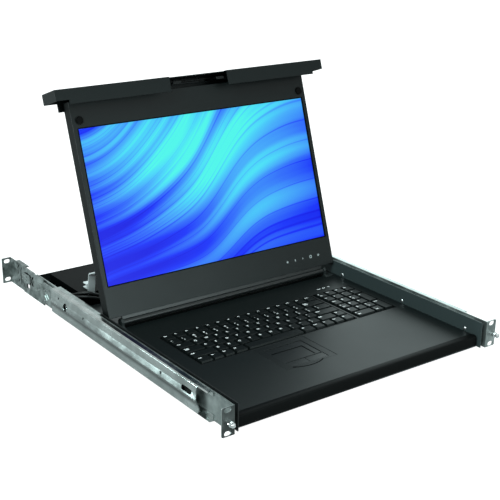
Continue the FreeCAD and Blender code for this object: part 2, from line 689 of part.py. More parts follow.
pan = new_body("tray_pan")
section = [(-d.pan_half, d.pan_floor), (d.pan_half, d.pan_floor), (d.pan_half, d.pan_top),
           (d.pan_inner, d.pan_top), (d.pan_inner, pan_inside_floor), (-d.pan_inner, pan_inside_floor),
           (-d.pan_inner, d.pan_top), (-d.pan_half, d.pan_top)]
extrude(pan, "Y", [section], d.pan_front, d.pan_rear)
extrude(pan, "Z", [box_outline(-d.pan_inner, d.pan_inner, d.pan_front - 1, d.floor_front)],
        d.pan_floor - 1, pan_inside_floor + 1, cut=True)
rear_wall = box_outline(-d.pan_inner, d.pan_inner, pan_inside_floor, d.box_top)
extrude(pan, "Y", [rear_wall], d.pan_rear - d.pan_sheet, d.pan_rear)
# the wall is lower at the front corner and behind the hinge
for name, side in SIDES:
    low_rear = [(d.box_front, d.pan_top + 1), (d.pan_rear + 1, d.pan_top + 1),
                (d.pan_rear + 1, d.box_top), (d.box_front + 20, d.box_top)]
    extrude(pan, "X", [low_rear], (d.pan_inner - 1) * side, (d.pan_half + 1) * side, cut=True)
# cooling slots under the control box
vents = [("slot", d.vent_pitch * (column - 2), d.box_front + d.box_depth * 0.18 + d.vent_step * row, d.vent_half, d.vent_radius)
         for column in range(5) for row in range(4)]
extrude(pan, "Z", vents, d.pan_floor - 1, pan_inside_floor + 1, cut=True)
rivet_holes = [("circle", d.drawer_rail_front + at, as_size(0), as_size(2.1)) for at in rivet_rows]
for name, side in SIDES:
    extrude(pan, "X", rivet_holes, (d.pan_inner - 1) * side, (d.pan_half + 1) * side, cut=True)
keep(pan)

keys_right = d.numpad_left + d.numpad_pitch * 4
keys_rear = d.keyboard_front + d.key_pitch_y * 6
well_left = d.keyboard_left - d.well_margin
well_right = keys_right + d.well_margin
well_front = d.keyboard_front - d.well_margin
well_rear = keys_rear + d.well_margin

deck = new_body("deck")
side_view = [(d.deck_front, pan_inside_floor), (d.deck_front + d.deck_sheet, pan_inside_floor),
             (d.deck_front + d.deck_sheet, deck_under), (d.deck_rear - d.deck_sheet, deck_under),
             (d.deck_rear - d.deck_sheet, pan_inside_floor), (d.deck_rear, pan_inside_floor),
             (d.deck_rear, d.deck_top), (d.deck_front, d.deck_top)]
extrude(deck, "X", [side_view], -fit, fit)
extrude(deck, "Z", [box_outline(well_left, well_right, well_front, well_rear),
                    box_outline(d.touch_left, d.touch_right, d.touch_front, d.touch_rear)],
        deck_under - 1, d.deck_top + 1, cut=True)
keep(deck)

trim = new_body("front_trim")
nose = [(d.trim_front, d.trim_bottom + 3), (d.trim_front + 1.2, d.trim_bottom + 0.8),
        (d.trim_front + 3, d.trim_bottom), (d.trim_front + 6, d.trim_bottom),
        (d.deck_front, d.trim_bottom + 6), (d.deck_front, d.trim_top - 1),
        (d.trim_front + 7, d.trim_top), (d.trim_front + 3.5, d.trim_top),
        (d.trim_front + 1.2, d.trim_top - 0.9), (d.trim_front, d.trim_top - 3.2)]
extrude(trim, "X", [nose], -d.trim_half, d.trim_half)
keep(trim)

# ---------------------------------------------------------------- keyboard

key_bottom = d.key_top - d.key_height
base_top = key_bottom - d.key_travel - 0.7
base = new_body("keyboard_base")
rim = 0.3
extrude(base, "Z", [box_outline(well_left + rim, well_right - rim, well_front + rim, well_rear - rim)],
        base_top - d.base_sheet, d.deck_top - 0.3)
main_right = d.keyboard_left + d.key_pitch_x * 15
extrude(base, "Z", [box_outline(d.keyboard_left - 1, main_right + 1, d.keyboard_front - 1, keys_rear + 1),
                    box_outline(d.numpad_left - 1, keys_right + 1, d.keyboard_front - 1, keys_rear + 1)],
        base_top, d.deck_top + 1, cut=True)


# each row, front to rear, as (name or None, width in key units)
ROWS = [
    [(None, 1.2), (None, 1), (None, 1), (None, 1.2), ("space_bar", 5.4), (None, 1.2), (None, 1),
     (None, 1), (None, 1), (None, 1)],
    [("left_shift_key", 2.3)] + [(None, 1)] * 10 + [("right_shift_key", 1.7), (None, 1)],
    [("caps_lock_key", 1.8)] + [(None, 1)] * 11 + [("enter_key", 2.2)],
    [("tab_key", 1.5)] + [(None, 1)] * 12 + [(None, 1.5)],
    [(None, 1)] * 13 + [("backspace_key", 2)],
    [("escape_key", 1)] + [(None, 1)] * 14,
]
# number block: (name or None, column, row, columns wide, rows deep)
NUMBER_KEYS = (
    [(None, 0, 0, 2, 1), (None, 2, 0, 1, 1), ("number_enter_key", 3, 0, 1, 2)]
    + [(None, column, row, 1, 1) for row in (1, 2, 3) for column in (0, 1, 2)]
    + [("number_plus_key", 3, 2, 1, 2)]
    + [(None, column, row, 1, 1) for row in (4, 5) for column in (0, 1, 2, 3)]
)


def keycap(x0, x1, y0, y1):
    """A key cap that narrows towards its top."""
    gap = float(d.key_gap) / 2
    taper = float(d.key_taper)
    low, high = float(key_bottom), float(d.key_top)
    x0, x1, y0, y1 = x0 + gap, x1 - gap, y0 + gap, y1 - gap
    lower = [(x0, y0), (x1, y0), (x1, y1), (x0, y1)]
    upper = [(x0 + taper, y0 + taper), (x1 - taper, y0 + taper),
             (x1 - taper, y1 - taper * 0.6), (x0 + taper, y1 - taper * 0.6)]
    rings = [Part.makePolygon([FreeCAD.Vector(x, y, z) for x, y in ring + ring[:1]])
             for ring, z in ((lower, low), (upper, high))]
    return Part.makeLoft(rings, True, True)


def key(x0, x1, y0, y1, plunges):
    """A cap on its stem: a plunging stem runs in a hole of the base, the others stand on it."""
    cap = keycap(x0, x1, y0, y1)
    half = float(d.stem_size) / 2
    middle_x, middle_y = (x0 + x1) / 2, (y0 + y1) / 2
    foot = float(base_top - d.base_sheet) + 0.4 if plunges else float(base_top)
    stem = block(middle_x - half, middle_x + half, middle_y - half, middle_y + half,
                 foot, float(key_bottom))
    return cap.fuse(stem).removeSplitter()


def key_spots():
    """Every key of the board as (name or None, row, x0, x1, y0, y1), the number block as row None."""
    spots = []
    pitch_x, pitch_y = float(d.key_pitch_x), float(d.key_pitch_y)
    front = float(d.keyboard_front)
    for row, keys in enumerate(ROWS):
        x = float(d.keyboard_left)
        y = front + row * pitch_y
        for name, width in keys:
            spots.append((name, row, x, x + width * pitch_x, y, y + pitch_y))
            x += width * pitch_x
    left, pitch = float(d.numpad_left), float(d.numpad_pitch)
    for name, column, row, wide, deep in NUMBER_KEYS:
        x, y = left + column * pitch, front + row * pitch_y
        spots.append((name, None, x, x + wide * pitch, y, y + deep * pitch_y))
    return spots


spots = key_spots()
stem_hole = d.stem_size / 2 + 0.3
holes = []
for name, row, x0, x1, y0, y1 in spots:
    if name:
        x, y = (x0 + x1) / 2, (y0 + y1) / 2
        if row is None:
            middle_x = d.numpad_left + (x - numbers["numpad_left"]) / numbers["numpad_pitch"] * d.numpad_pitch
        else:
            middle_x = d.keyboard_left + (x - numbers["keyboard_left"]) / numbers["key_pitch_x"] * d.key_pitch_x
        middle_y = d.keyboard_front + (y - numbers["keyboard_front"]) / numbers["key_pitch_y"] * d.key_pitch_y
        holes.append(box_outline(middle_x - stem_hole, middle_x + stem_hole,
                                 middle_y - stem_hole, middle_y + stem_hole))
extrude(base, "Z", holes, base_top - d.base_sheet - 1, base_top + 1, cut=True)
# feet that carry the base on the floor of the pan
foot = d.base_foot / 2
feet = [box_outline(x - foot, x + foot, y - foot, y + foot)
        for x in (well_left + d.base_foot * 2.5, (well_left + well_right) / 2, well_right - d.base_foot * 2.5)
        for y in (well_front + d.base_foot * 1.25, well_rear - d.base_foot * 1.25)]
extrude(base, "Z", feet, pan_inside_floor, base_top - d.base_sheet)
keep(base)

for name, row, *spot in spots:
    if name:
        keep(compound(name, [key(*spot, plunges=True)]))
for row in range(len(ROWS)):
    keep(compound(f"key_row_{row + 1}",
                  [key(*spot, plunges=False) for name, at, *spot in spots if at == row and not name]))
keep(compound("number_keys",
              [key(*spot, plunges=False) for name, at, *spot in spots if at is None and not name]))

# ---------------------------------------------------------------- touchpad

frame_play = 0.3
touch = new_body("touchpad_frame")
extrude(touch, "Z", [box_outline(d.touch_left + frame_play, d.touch_right - frame_play,
                                 d.touch_front + frame_play, d.touch_rear - frame_play)],
        deck_under - 4, d.deck_top - 0.2)
pad_left = (d.touch_left + d.touch_right - d.pad_width) / 2
pad_right = pad_left + d.pad_width
pad_rear = d.touch_rear - 11
pad_front = pad_rear - d.pad_depth
button_rear = pad_front - 2
button_front = button_rear - d.button_depth
touch_floor = deck_under - 1
extrude(touch, "Z", [box_outline(pad_left, pad_right, pad_front, pad_rear)],
        touch_floor + 0.5, d.deck_top + 1, cut=True)
extrude(touch, "Z", [box_outline(pad_left, pad_right, button_front, button_rear)],
        touch_floor - 1.5, d.deck_top + 1, cut=True)
extrude(touch, "Z", [box_outline(d.touch_left + 6, d.touch_left + 14, d.touch_front + 6, d.touch_front + 14),
                     box_outline(d.touch_right - 14, d.touch_right - 6, d.touch_front + 6, d.touch_front + 14),
                     box_outline(d.touch_left + 6, d.touch_left + 14, d.touch_rear - 14, d.touch_rear - 6),
                     box_outline(d.touch_right - 14, d.touch_right - 6, d.touch_rear - 14, d.touch_rear - 6)],
        pan_inside_floor, deck_under - 4)
keep(touch)

surface = new_body("touch_surface")
extrude(surface, "Z", [box_outline(pad_left + 0.4, pad_right - 0.4, pad_front + 0.4, pad_rear - 0.4)],
        touch_floor + 0.5, d.deck_top - 0.9)
keep(surface)

pad_middle = (pad_left + pad_right) / 2
for name, x0, x1 in (("left", pad_left + 0.4, pad_middle - 0.3), ("right", pad_middle + 0.3, pad_right - 0.4)):
    button = new_body(f"touchpad_button_{name}")
    extrude(button, "Z", [box_outline(x0, x1, button_front + 0.4, button_rear - 0.4)],
            touch_floor - 1.5 + d.button_travel + 0.3, d.deck_top - 0.6)
    keep(button)

# ---------------------------------------------------------------- lid hinge

bracket_gap = 0.4
foot_front = d.hinge_y - 12
foot_rear = d.hinge_y + 18
boss = 6.0
for name, side in SIDES:
    hinge = new_body(f"hinge_bracket_{name}")
    inner_face = d.barrel_half + bracket_gap
    cheek = [(foot_front, d.deck_top), (foot_rear, d.deck_top), (foot_rear, d.deck_top + 2),
             (d.hinge_y + boss, d.deck_top + 4), (d.hinge_y + boss, d.hinge_z + boss / 3),
             (d.hinge_y + boss / 2, d.hinge_z + boss), (d.hinge_y - boss / 2, d.hinge_z + boss),
             (d.hinge_y - boss, d.hinge_z + boss / 3), (d.hinge_y - boss, d.deck_top + 4),
             (foot_front, d.deck_top + 2)]
    extrude(hinge, "X", [cheek], inner_face * side, (inner_face + 4) * side)
    foot = box_outline((inner_face + 4) * side, (inner_face + 16) * side, foot_front, foot_rear)
    extrude(hinge, "Z", [foot], d.deck_top, d.deck_top + 2)
    extrude(hinge, "Z", [("circle", (inner_face + 10) * side, d.hinge_y + y, as_size(1.8))
                         for y in (-6.0, 12.0)], d.deck_top - 1, d.deck_top + 3, cut=True)
    extrude(hinge, "X", [("circle", d.hinge_y, d.hinge_z, d.hinge_pin / 2)],
            (inner_face + 2) * side, (inner_face + 2 - d.pin_length) * side)
    keep(hinge)

# lid pieces are made upright about the hinge axis: z along the lid, -y out of the screen

barrel = new_body("hinge_barrel")
neck_half = 1.5
extrude(barrel, "X", [("circle", as_size(0), as_size(0), d.barrel_diameter / 2)], -d.barrel_half, d.barrel_half)
extrude(barrel, "X", [box_outline(as_size(-neck_half), as_size(neck_half), d.barrel_diameter / 4, d.lid_bottom)],
        -d.barrel_half, d.barrel_half)
for name, side in SIDES:
    extrude(barrel, "X", [("circle", as_size(0), as_size(0), d.hinge_pin / 2 + d.pin_play)],
            (d.barrel_half + bracket_gap + 1 - d.pin_length) * side, (d.barrel_half + 1) * side, cut=True)
lid_place(barrel)
keep(barrel)

# ---------------------------------------------------------------- lid

bezel_back = -d.lid_face + d.bezel_sheet
cover = new_body("lid_cover")
extrude(cover, "Z", [box_outline(-d.lid_half, d.lid_half, bezel_back, d.lid_back)], d.lid_bottom, d.lid_top)
round_edges(cover, 3.0, lambda middle, along, edge: abs(abs(middle.x) - float(d.lid_half)) < 0.01
            and abs(middle.y - float(d.lid_back)) < 0.01 and abs(along.z) > 0.99)
extrude(cover, "Y", [box_outline(-d.lid_half + d.lid_wall, d.lid_half - d.lid_wall,
                                 d.lid_bottom + d.lid_wall, d.lid_top - d.lid_wall)],
        bezel_back - 1, d.lid_back - d.lid_wall, cut=True)
lid_place(cover)
keep(cover)

bezel = new_body("screen_surround")
extrude(bezel, "Y", [box_outline(-d.lid_half, d.lid_half, d.lid_bottom, d.lid_top)], -d.lid_face, bezel_back)
screen_top = d.screen_bottom + d.screen_height
extrude(bezel, "Y", [box_outline(-d.screen_width / 2, d.screen_width / 2, d.screen_bottom, screen_top)],
        -d.lid_face - 1, bezel_back + 1, cut=True)
lid_place(bezel)
keep(bezel)

display = new_body("display")
border = d.panel_border
extrude(display, "Y", [box_outline(-d.screen_width / 2 - border, d.screen_width / 2 + border,
                                   d.screen_bottom - border, screen_top + border)],
        bezel_back, bezel_back + d.panel_thick)
lid_place(display)
keep(display)


def upright(shape, name):
    """A lid piece from a shape made upright about the hinge axis."""
    feature = compound(name, shape)
    lid_place(feature)
    return feature


bumpers = []
for side in (-1, 1):
    height = float(d.bumper_height)
    centre = (side * float(d.lid_half - d.bumper_radius * 2), -float(d.lid_face),
              float(screen_top + (d.lid_top - screen_top) * 0.3))
    bumper = rod(d.bumper_radius, height, centre, (0, -1, 0))
    rim_edges = [edge for edge in bumper.Edges if abs(edge.BoundBox.YMin + float(d.lid_face) + height) < 0.01
                 and edge.BoundBox.YLength < 0.01]
    bumpers.append(bumper.makeFillet(height / 3, rim_edges))
keep(upright(bumpers, "lid_bumpers"))

# ---------------------------------------------------------------- front bar on the lid's free edge

bar_low = -d.bar_height / 2 - d.hinge_z
bar_high = d.bar_height / 2 - d.hinge_z
ear_level = d.lid_top + d.bar_gap
bar_face = ear_level + d.bar_depth
lip_edge = d.lid_top - 6
back_edge = d.lid_top - 12

bar = new_body("front_bar")
inside = bar_face - d.bar_sheet
profile = [(bar_low, lip_edge), (bar_low, bar_face), (bar_high, bar_face), (bar_high, back_edge),
           (d.lid_back, back_edge), (d.lid_back, inside), (bar_low + d.bar_sheet, inside),
           (bar_low + d.bar_sheet, lip_edge)]
extrude(bar, "X", [profile], -d.ear_width / 2, d.ear_width / 2)
end_out = d.ear_width / 2
for name, side in SIDES:
    cap = box_outline((end_out - d.bar_sheet) * side, end_out * side, ear_level, inside)
    extrude(bar, "Y", [cap], bar_low, bar_high)
    # the flanges stand back at the ends, so that they clear the ears
    clear = box_outline((d.bracket_half - 3) * side, (end_out + 1) * side, back_edge - 1, ear_level)
    extrude(bar, "Y", [clear], bar_low - 1, bar_high + 1, cut=True)
notch_top = bar_low + d.notch_depth
extrude(bar, "Y", [box_outline(-d.notch_half, d.notch_half, lip_edge - 1, bar_face + 1)],
        bar_low - 1, notch_top, cut=True)
lid_place(bar)
keep(bar)

# ---------------------------------------------------------------- latch: a strip with a fork at each end

neck_width = 3.2
neck_middle = d.striker_length - 2.2 - neck_width / 2
latch_mid = d.hinge_y + neck_middle
latch_front = latch_mid - d.latch_sheet / 2
latch_back = latch_front + d.latch_sheet
strip_low = as_size(2.4)
strip_high = strip_low + 6
pin_level = -d.hinge_z
fork_low = pin_level - 7
slot_radius = d.striker_neck / 2 + 0.4
column = d.hole_pitch_x / 2
fork_in, fork_out = column - 7.5, column + 6

latch = new_body("latch_strip")
plan = [(-fork_out, fork_low), (-column - slot_radius, fork_low), (-column - slot_radius, pin_level),
        (-column + slot_radius, pin_level), (-column + slot_radius, fork_low), (-fork_in, fork_low),
        (-fork_in, strip_low), (fork_in, strip_low), (fork_in, fork_low),
        (column - slot_radius, fork_low), (column - slot_radius, pin_level),
        (column + slot_radius, pin_level), (column + slot_radius, fork_low), (fork_out, fork_low),
        (fork_out, strip_high), (-fork_out, strip_high)]
extrude(latch, "Z", [plan], latch_front, latch_back)
extrude(latch, "Z", [("circle", -column, pin_level, slot_radius), ("circle", column, pin_level, slot_radius)],
        latch_front - 1, latch_back + 1, cut=True)
lid_place(latch)
keep(latch)

handle = new_body("release_handle")
tab_end = d.notch_half - 6
thumb = [(bar_low + 1.5, latch_front - 5), (bar_low + 1.5, latch_front - 1.2), (strip_low, latch_front - 1.2),
         (strip_low, latch_front), (strip_high, latch_front), (strip_high, latch_front - 2.4),
         (strip_low - 2, latch_front - 2.4), (bar_low + 3, latch_front - 2.4), (bar_low + 3, latch_front - 5)]
# a strap along the latch strip joins the two tabs
extrude(handle, "X", [[(strip_high, latch_front), (strip_high, latch_front - 2.4),
                       (strip_high - 2, latch_front - 2.4), (strip_high - 2, latch_front)]], -tab_end, tab_end)
for name, side in SIDES:
    extrude(handle, "X", [thumb], (tab_end - d.tab_width) * side, tab_end * side)
lid_place(handle)
keep(handle)

guides = []
for side in (-1, 1):
    centre = side * float(d.barrel_half - d.guide_inset)
    half = float(d.guide_width) / 2
    x0, x1 = centre - half, centre + half
    guide = block(x0, x1, -1.0, d.lid_back, latch_front - 2.3, inside)
    slot = block(x0 - 1, x1 + 1, 1.4, float(d.lid_back) - 0.3, latch_front - 0.3, latch_back + 0.3)
    guides.append(guide.cut(slot))
keep(upright(guides, "latch_guides"))

# ---------------------------------------------------------------- rear of the drawer

control = new_body("control_box")
extrude(control, "Z", [box_outline(-d.box_half, d.box_half, d.box_front, d.box_rear)],
        pan_inside_floor, d.box_top)
extrude(control, "Z", [box_outline(-d.box_half + d.pan_sheet, d.box_half - d.pan_sheet,
                                   d.box_front + d.pan_sheet, d.box_rear - d.pan_sheet)],
        pan_inside_floor - 1, d.box_top - d.pan_sheet, cut=True)
round_edges(control, 1.0, lambda middle, along, edge: abs(along.x) > 0.99
            and abs(middle.z - float(d.box_top)) < 0.01)
keep(control)

clip_x = d.clip_inset - d.box_half
clip = new_body("cable_clip")
clip_y = d.box_front + 14
extrude(clip, "X", [[(clip_y, d.box_top), (clip_y + 12, d.box_top), (clip_y + 12, d.box_top + 2),
                     (clip_y + 3, d.box_top + 2), (clip_y + 3, d.box_top + 7),
                     (clip_y + 12, d.box_top + 7), (clip_y + 12, d.box_top + 9), (clip_y, d.box_top + 9)]],
        clip_x - d.clip_width / 2, clip_x + d.clip_width / 2)
keep(clip)

# ---------------------------------------------------------------- connectors on the rear wall

connectors = []
rear_face = float(d.pan_rear)
depth = float(d.socket_depth)
box_side = float(d.box_half)
low_end = -float(d.socket_depth)
for x, width, height in ((55 - box_side, 30.8, 12.0), (100 - box_side, 12.0, 11.0), (box_side - 45, 9.0, 11.0)):
    shell = block(x - width / 2, x + width / 2, rear_face, rear_face + depth, low_end, low_end + height)
    mouth = block(x - width / 2 + 1.4, x + width / 2 - 1.4, rear_face + 1, rear_face + depth + 1,
                  low_end + 1.4, low_end + height - 1.4)
    connectors.append(shell.cut(mouth))
keep(compound("rear_connectors", connectors))

# ---------------------------------------------------------------- rivets


def rivet(side, y, z, length):
    """A rivet through the pan wall and the drawer rail, with a domed head inside the pan."""
    wall = float(d.pan_inner)
    shank = rod(2.1, length, (side * wall, y, z), (side, 0, 0))
    dome = Part.makeSphere(4.0, FreeCAD.Vector(side * (wall + 2.6), y, z))
    dome = dome.common(block(side * (wall - 3), side * wall, y - 5, y + 5, z - 5, z + 5))
    return shank.fuse(dome).removeSplitter()


pan_rivets = []
for name, side in SIDES:
    for at in rivet_rows:
        y = float(d.drawer_rail_front + at)
        pan_rivets.append(rivet(side, y, 0.0, float(d.pan_sheet + d.slide_sheet)))
keep(compound("pan_rivets", pan_rivets))

rail_rivets = []
for name, side in SIDES:
    inside = float(d.plate_inner) * side
    for y in rivet_spots:
        for up in (-1, 1):
            rail_rivets.append(rod(d.rivet_radius, d.ear_sheet + d.rail_sheet,
                                   (inside, y, float(rivet_level) * up), (side, 0, 0)))
keep(compound("rail_rivets", rail_rivets))

# ---------------------------------------------------------------- check and export

doc.recompute()
for obj in doc.Objects:
    if "Invalid" in obj.State or "Error" in obj.State:
        raise RuntimeError(f"{obj.Name} failed: {obj.State}")
os.makedirs("parts", exist_ok=True)
for piece in pieces:
    shape = piece.Shape
    if shape.isNull() or not shape.isValid():
        raise RuntimeError(f"{piece.Label} has no valid shape")
for piece in pieces:
    piece.Shape.exportStep(os.path.join("parts", f"{piece.Label}.step"))
print(f"{len(pieces)} pieces, {sum(len(p.Shape.Solids) for p in pieces)} solids")
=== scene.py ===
# %% [markdown]
# # A rackmount LCD console drawer
# A console drawer is one rack unit high. A keyboard, a touchpad and a folding screen slide out of the
# rack on telescoping rails. The solid model already gives every piece its place, so this lesson is
# about surfaces: rounded edges, powder coat, zinc plating, key legends and a lit screen.

# %% Load the frame
import json
import math

import bmesh
import bpy
from mathutils import Matrix, Vector


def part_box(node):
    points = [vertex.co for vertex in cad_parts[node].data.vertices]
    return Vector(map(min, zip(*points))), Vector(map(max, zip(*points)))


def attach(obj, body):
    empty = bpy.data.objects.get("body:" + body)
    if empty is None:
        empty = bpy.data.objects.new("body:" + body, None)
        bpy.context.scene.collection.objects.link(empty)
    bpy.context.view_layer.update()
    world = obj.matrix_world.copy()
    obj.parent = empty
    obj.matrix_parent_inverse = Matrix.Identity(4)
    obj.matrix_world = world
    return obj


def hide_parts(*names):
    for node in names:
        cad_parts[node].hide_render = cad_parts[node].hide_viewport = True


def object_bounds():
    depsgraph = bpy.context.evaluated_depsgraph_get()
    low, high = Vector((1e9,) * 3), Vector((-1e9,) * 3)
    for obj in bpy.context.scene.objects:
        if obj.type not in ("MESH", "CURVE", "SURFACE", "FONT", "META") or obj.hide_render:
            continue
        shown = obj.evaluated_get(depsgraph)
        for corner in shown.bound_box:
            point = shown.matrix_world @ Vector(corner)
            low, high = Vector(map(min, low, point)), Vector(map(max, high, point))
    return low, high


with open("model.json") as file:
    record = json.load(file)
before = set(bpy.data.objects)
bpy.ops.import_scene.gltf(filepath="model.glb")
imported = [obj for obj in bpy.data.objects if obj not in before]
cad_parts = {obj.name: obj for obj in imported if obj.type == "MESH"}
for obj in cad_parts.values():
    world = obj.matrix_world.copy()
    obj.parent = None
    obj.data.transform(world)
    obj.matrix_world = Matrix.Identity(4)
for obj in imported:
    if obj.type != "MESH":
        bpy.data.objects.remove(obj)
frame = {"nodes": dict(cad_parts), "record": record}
CAD_BOX = [list(corner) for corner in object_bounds()]
RECORD = frame["record"]
BODY_OF = {node: body for body, nodes in RECORD["behaviour"]["bodies"].items() for node in nodes}
SLOT_OF = {entry["node"]: entry["material_slot"] for entry in RECORD["subparts"]}
MM = 0.001
print("CAD box", CAD_BOX)

# %% [markdown]
# ## The lid's own axes
# The screen leans back, so everything on it is easier to place in the lid's own axes: x to the right,
# up along the screen, and out of the screen's face. The hinge joint gives the origin. The lean is
# what is left when the lid's shut angle is taken from a right angle.

# %% Lid axes
HINGE = next(joint for joint in RECORD["behaviour"]["joints"] if joint["name"] == "lid_hinge")
LEAN = math.radians(-HINGE["range_deg"][0] - 90)
HINGE_POINT = Vector(HINGE["pos_m"])
LID_UP = Vector((0, math.sin(LEAN), math.cos(LEAN)))
LID_OUT = Vector((0, -math.cos(LEAN), math.sin(LEAN)))
LID_MATRIX = Matrix.Translation(HINGE_POINT) @ Matrix(
    ((1, 0, 0, 0), (0, LID_OUT.y, LID_UP.y, 0), (0, LID_OUT.z, LID_UP.z, 0), (0, 0, 0, 1)))


def lid_box(node):
    """Lowest and highest x, out and up of a CAD node in the lid's axes."""
    corners = []
    for vertex in frame["nodes"][node].data.vertices:
        away = vertex.co - HINGE_POINT
        corners.append((away.x, away.dot(LID_OUT), away.dot(LID_UP)))
    low = Vector([min(corner[i] for corner in corners) for i in range(3)])
    high = Vector([max(corner[i] for corner in corners) for i in range(3)])
    return low, high


print("lean", round(math.degrees(LEAN), 2), "surround", lid_box("screen_surround"))

# %% [markdown]
# ## Camera
# The camera stands in front of the left ear, and looks down across the keyboard. It could be aimed
# with a Track To constraint, but two plain angles are easier to read and to change. A long lens
# keeps the rails nearly parallel, and the shift slides the picture without turning the camera.

# %% Camera
CAMERA_PLACE = Vector((-0.8773, -0.9092, 0.6075))
CAMERA_YAW = math.radians(34.72)
CAMERA_PITCH = math.radians(19.94)
CAMERA_LENS = 75.0
SENSOR_WIDTH = 36.0
CAMERA_SHIFT = (0.0645, 0.027)
NEAR_CLIP = 0.01

look = Vector((math.sin(CAMERA_YAW) * math.cos(CAMERA_PITCH),
               math.cos(CAMERA_YAW) * math.cos(CAMERA_PITCH), -math.sin(CAMERA_PITCH)))
camera_data = bpy.data.cameras.new("camera")
camera_data.lens = CAMERA_LENS
camera_data.sensor_width = SENSOR_WIDTH
camera_data.shift_x, camera_data.shift_y = CAMERA_SHIFT
camera_data.clip_start = NEAR_CLIP
camera = bpy.data.objects.new("camera", camera_data)
camera.location = CAMERA_PLACE
camera.rotation_euler = look.to_track_quat("-Z", "Y").to_euler()
bpy.context.scene.collection.objects.link(camera)
bpy.context.scene.camera = camera
bpy.context.scene.view_settings.view_transform = "Standard"
print("camera at", tuple(CAMERA_PLACE), "lens", CAMERA_LENS)

# %% [markdown]
# ## Short words for node trees
# Every finish below is a tree of shader nodes. Built by hand in the editor, a tree can't be read
# back as text, so the script builds it. These helpers save a line for each setting. A Mix node has
# one set of sockets for numbers and one for colours under the same names, so its colour sockets go
# by their numbers, and the numbers get names here.

# %% Node helpers
MIX_FACTOR, MIX_A, MIX_B, MIX_RESULT = 0, 6, 7, 2


def new_tree(material_or_world):
    """An empty node tree, ready to be filled."""
    material_or_world.use_nodes = True
    tree = material_or_world.node_tree
    tree.nodes.clear()
    return tree


def add(tree, kind, values=(), **settings):
    """A node with its settings, and its unlinked inputs as name: value."""
    node = tree.nodes.new(kind)
    for key, value in settings.items():
        setattr(node, key, value)
    for key, value in dict(values).items():
        node.inputs[key].default_value = value
    return node


def rgb(red, green, blue):
    return (red, green, blue, 1.0)


def fill_ramp(ramp, stops):
    """Sets the stops of a Color Ramp, each a place from 0 to 1 and a colour."""
    while len(ramp.color_ramp.elements) < len(stops):
        ramp.color_ramp.elements.new(0.5)
    for element, (at, color) in zip(ramp.color_ramp.elements, stops):
        element.position = at
        element.color = rgb(*color)


print("node helpers ready")

# %% [markdown]
# ## The room
# Black sheet metal is drawn by what it reflects, so the room matters as much as the lamps. A plain
# grey world would leave the folds flat. This one is bright overhead and dimmer at the horizon, which
# gives the bent edges soft gradients. The Light Path node shows a plain white to the camera alone.

# %% World
HORIZON_LEVEL, OVERHEAD_LEVEL = 0.42, 1.0
BACKGROUND = 1.0
ROOM_TINT = rgb(0.92, 1, 1)
WHITE = rgb(1, 1, 1)

world = bpy.data.worlds.new("studio")
bpy.context.scene.world = world
tree = new_tree(world)
path = add(tree, "ShaderNodeLightPath")
way = add(tree, "ShaderNodeTexCoord")
split = add(tree, "ShaderNodeSeparateXYZ")
height = add(tree, "ShaderNodeMapRange", {"To Min": HORIZON_LEVEL, "To Max": OVERHEAD_LEVEL})
level = add(tree, "ShaderNodeMapRange", {"To Max": BACKGROUND})
tree.links.new(way.outputs["Generated"], split.inputs[0])
tree.links.new(split.outputs["Z"], height.inputs["Value"])
tree.links.new(height.outputs["Result"], level.inputs["To Min"])
tint = add(tree, "ShaderNodeMix", data_type="RGBA")
tint.inputs[MIX_A].default_value = ROOM_TINT
tint.inputs[MIX_B].default_value = WHITE
light = add(tree, "ShaderNodeBackground")
out = add(tree, "ShaderNodeOutputWorld")
tree.links.new(path.outputs["Is Camera Ray"], level.inputs["Value"])
tree.links.new(path.outputs["Is Camera Ray"], tint.inputs[MIX_FACTOR])
tree.links.new(tint.outputs[MIX_RESULT], light.inputs["Color"])
tree.links.new(level.outputs["Result"], light.inputs["Strength"])
tree.links.new(light.outputs[0], out.inputs[0])
print("world from", HORIZON_LEVEL, "to", OVERHEAD_LEVEL)

# %% [markdown]
# ## The floor
# The drawer stands on white paper. A white floor under these lamps would burn out or turn grey with
# them, and it would throw too much light up at the black coat. So the paper itself is a middle grey,
# and the camera alone sees it lifted to white. What stays visible is the drawer's own soft shadow.

# %% Floor
FLOOR_SIZE = 30.0
FLOOR_GREY = rgb(0.4, 0.4, 0.4)
FLOOR_LIFT = 0.9


def floor_material():
    """White for the camera, darkened only by the object's own shadow."""
    material = bpy.data.materials.new("floor_white")
    tree = new_tree(material)
    paper = add(tree, "ShaderNodeBsdfDiffuse", {"Color": FLOOR_GREY})
    lift = add(tree, "ShaderNodeEmission", {"Color": WHITE, "Strength": FLOOR_LIFT})
    both = add(tree, "ShaderNodeAddShader")
    out = add(tree, "ShaderNodeOutputMaterial")
    tree.links.new(paper.outputs[0], both.inputs[0])
    tree.links.new(lift.outputs[0], both.inputs[1])
    path = add(tree, "ShaderNodeLightPath")
    pick = add(tree, "ShaderNodeMixShader")
    tree.links.new(path.outputs["Is Camera Ray"], pick.inputs[0])
    tree.links.new(paper.outputs[0], pick.inputs[1])
    tree.links.new(both.outputs[0], pick.inputs[2])
    tree.links.new(pick.outputs[0], out.inputs[0])
    return material


floor_mesh = bpy.data.meshes.new("floor")
reach = FLOOR_SIZE / 2
floor_level = CAD_BOX[0][2]
floor_mesh.from_pydata([(-reach, -reach, floor_level), (reach, -reach, floor_level),
                        (reach, reach, floor_level), (-reach, reach, floor_level)], [], [(0, 1, 2, 3)])
floor = bpy.data.objects.new("floor", floor_mesh)
floor_mesh.materials.append(floor_material())
bpy.context.scene.collection.objects.link(floor)
print("floor at", round(floor_level, 4))

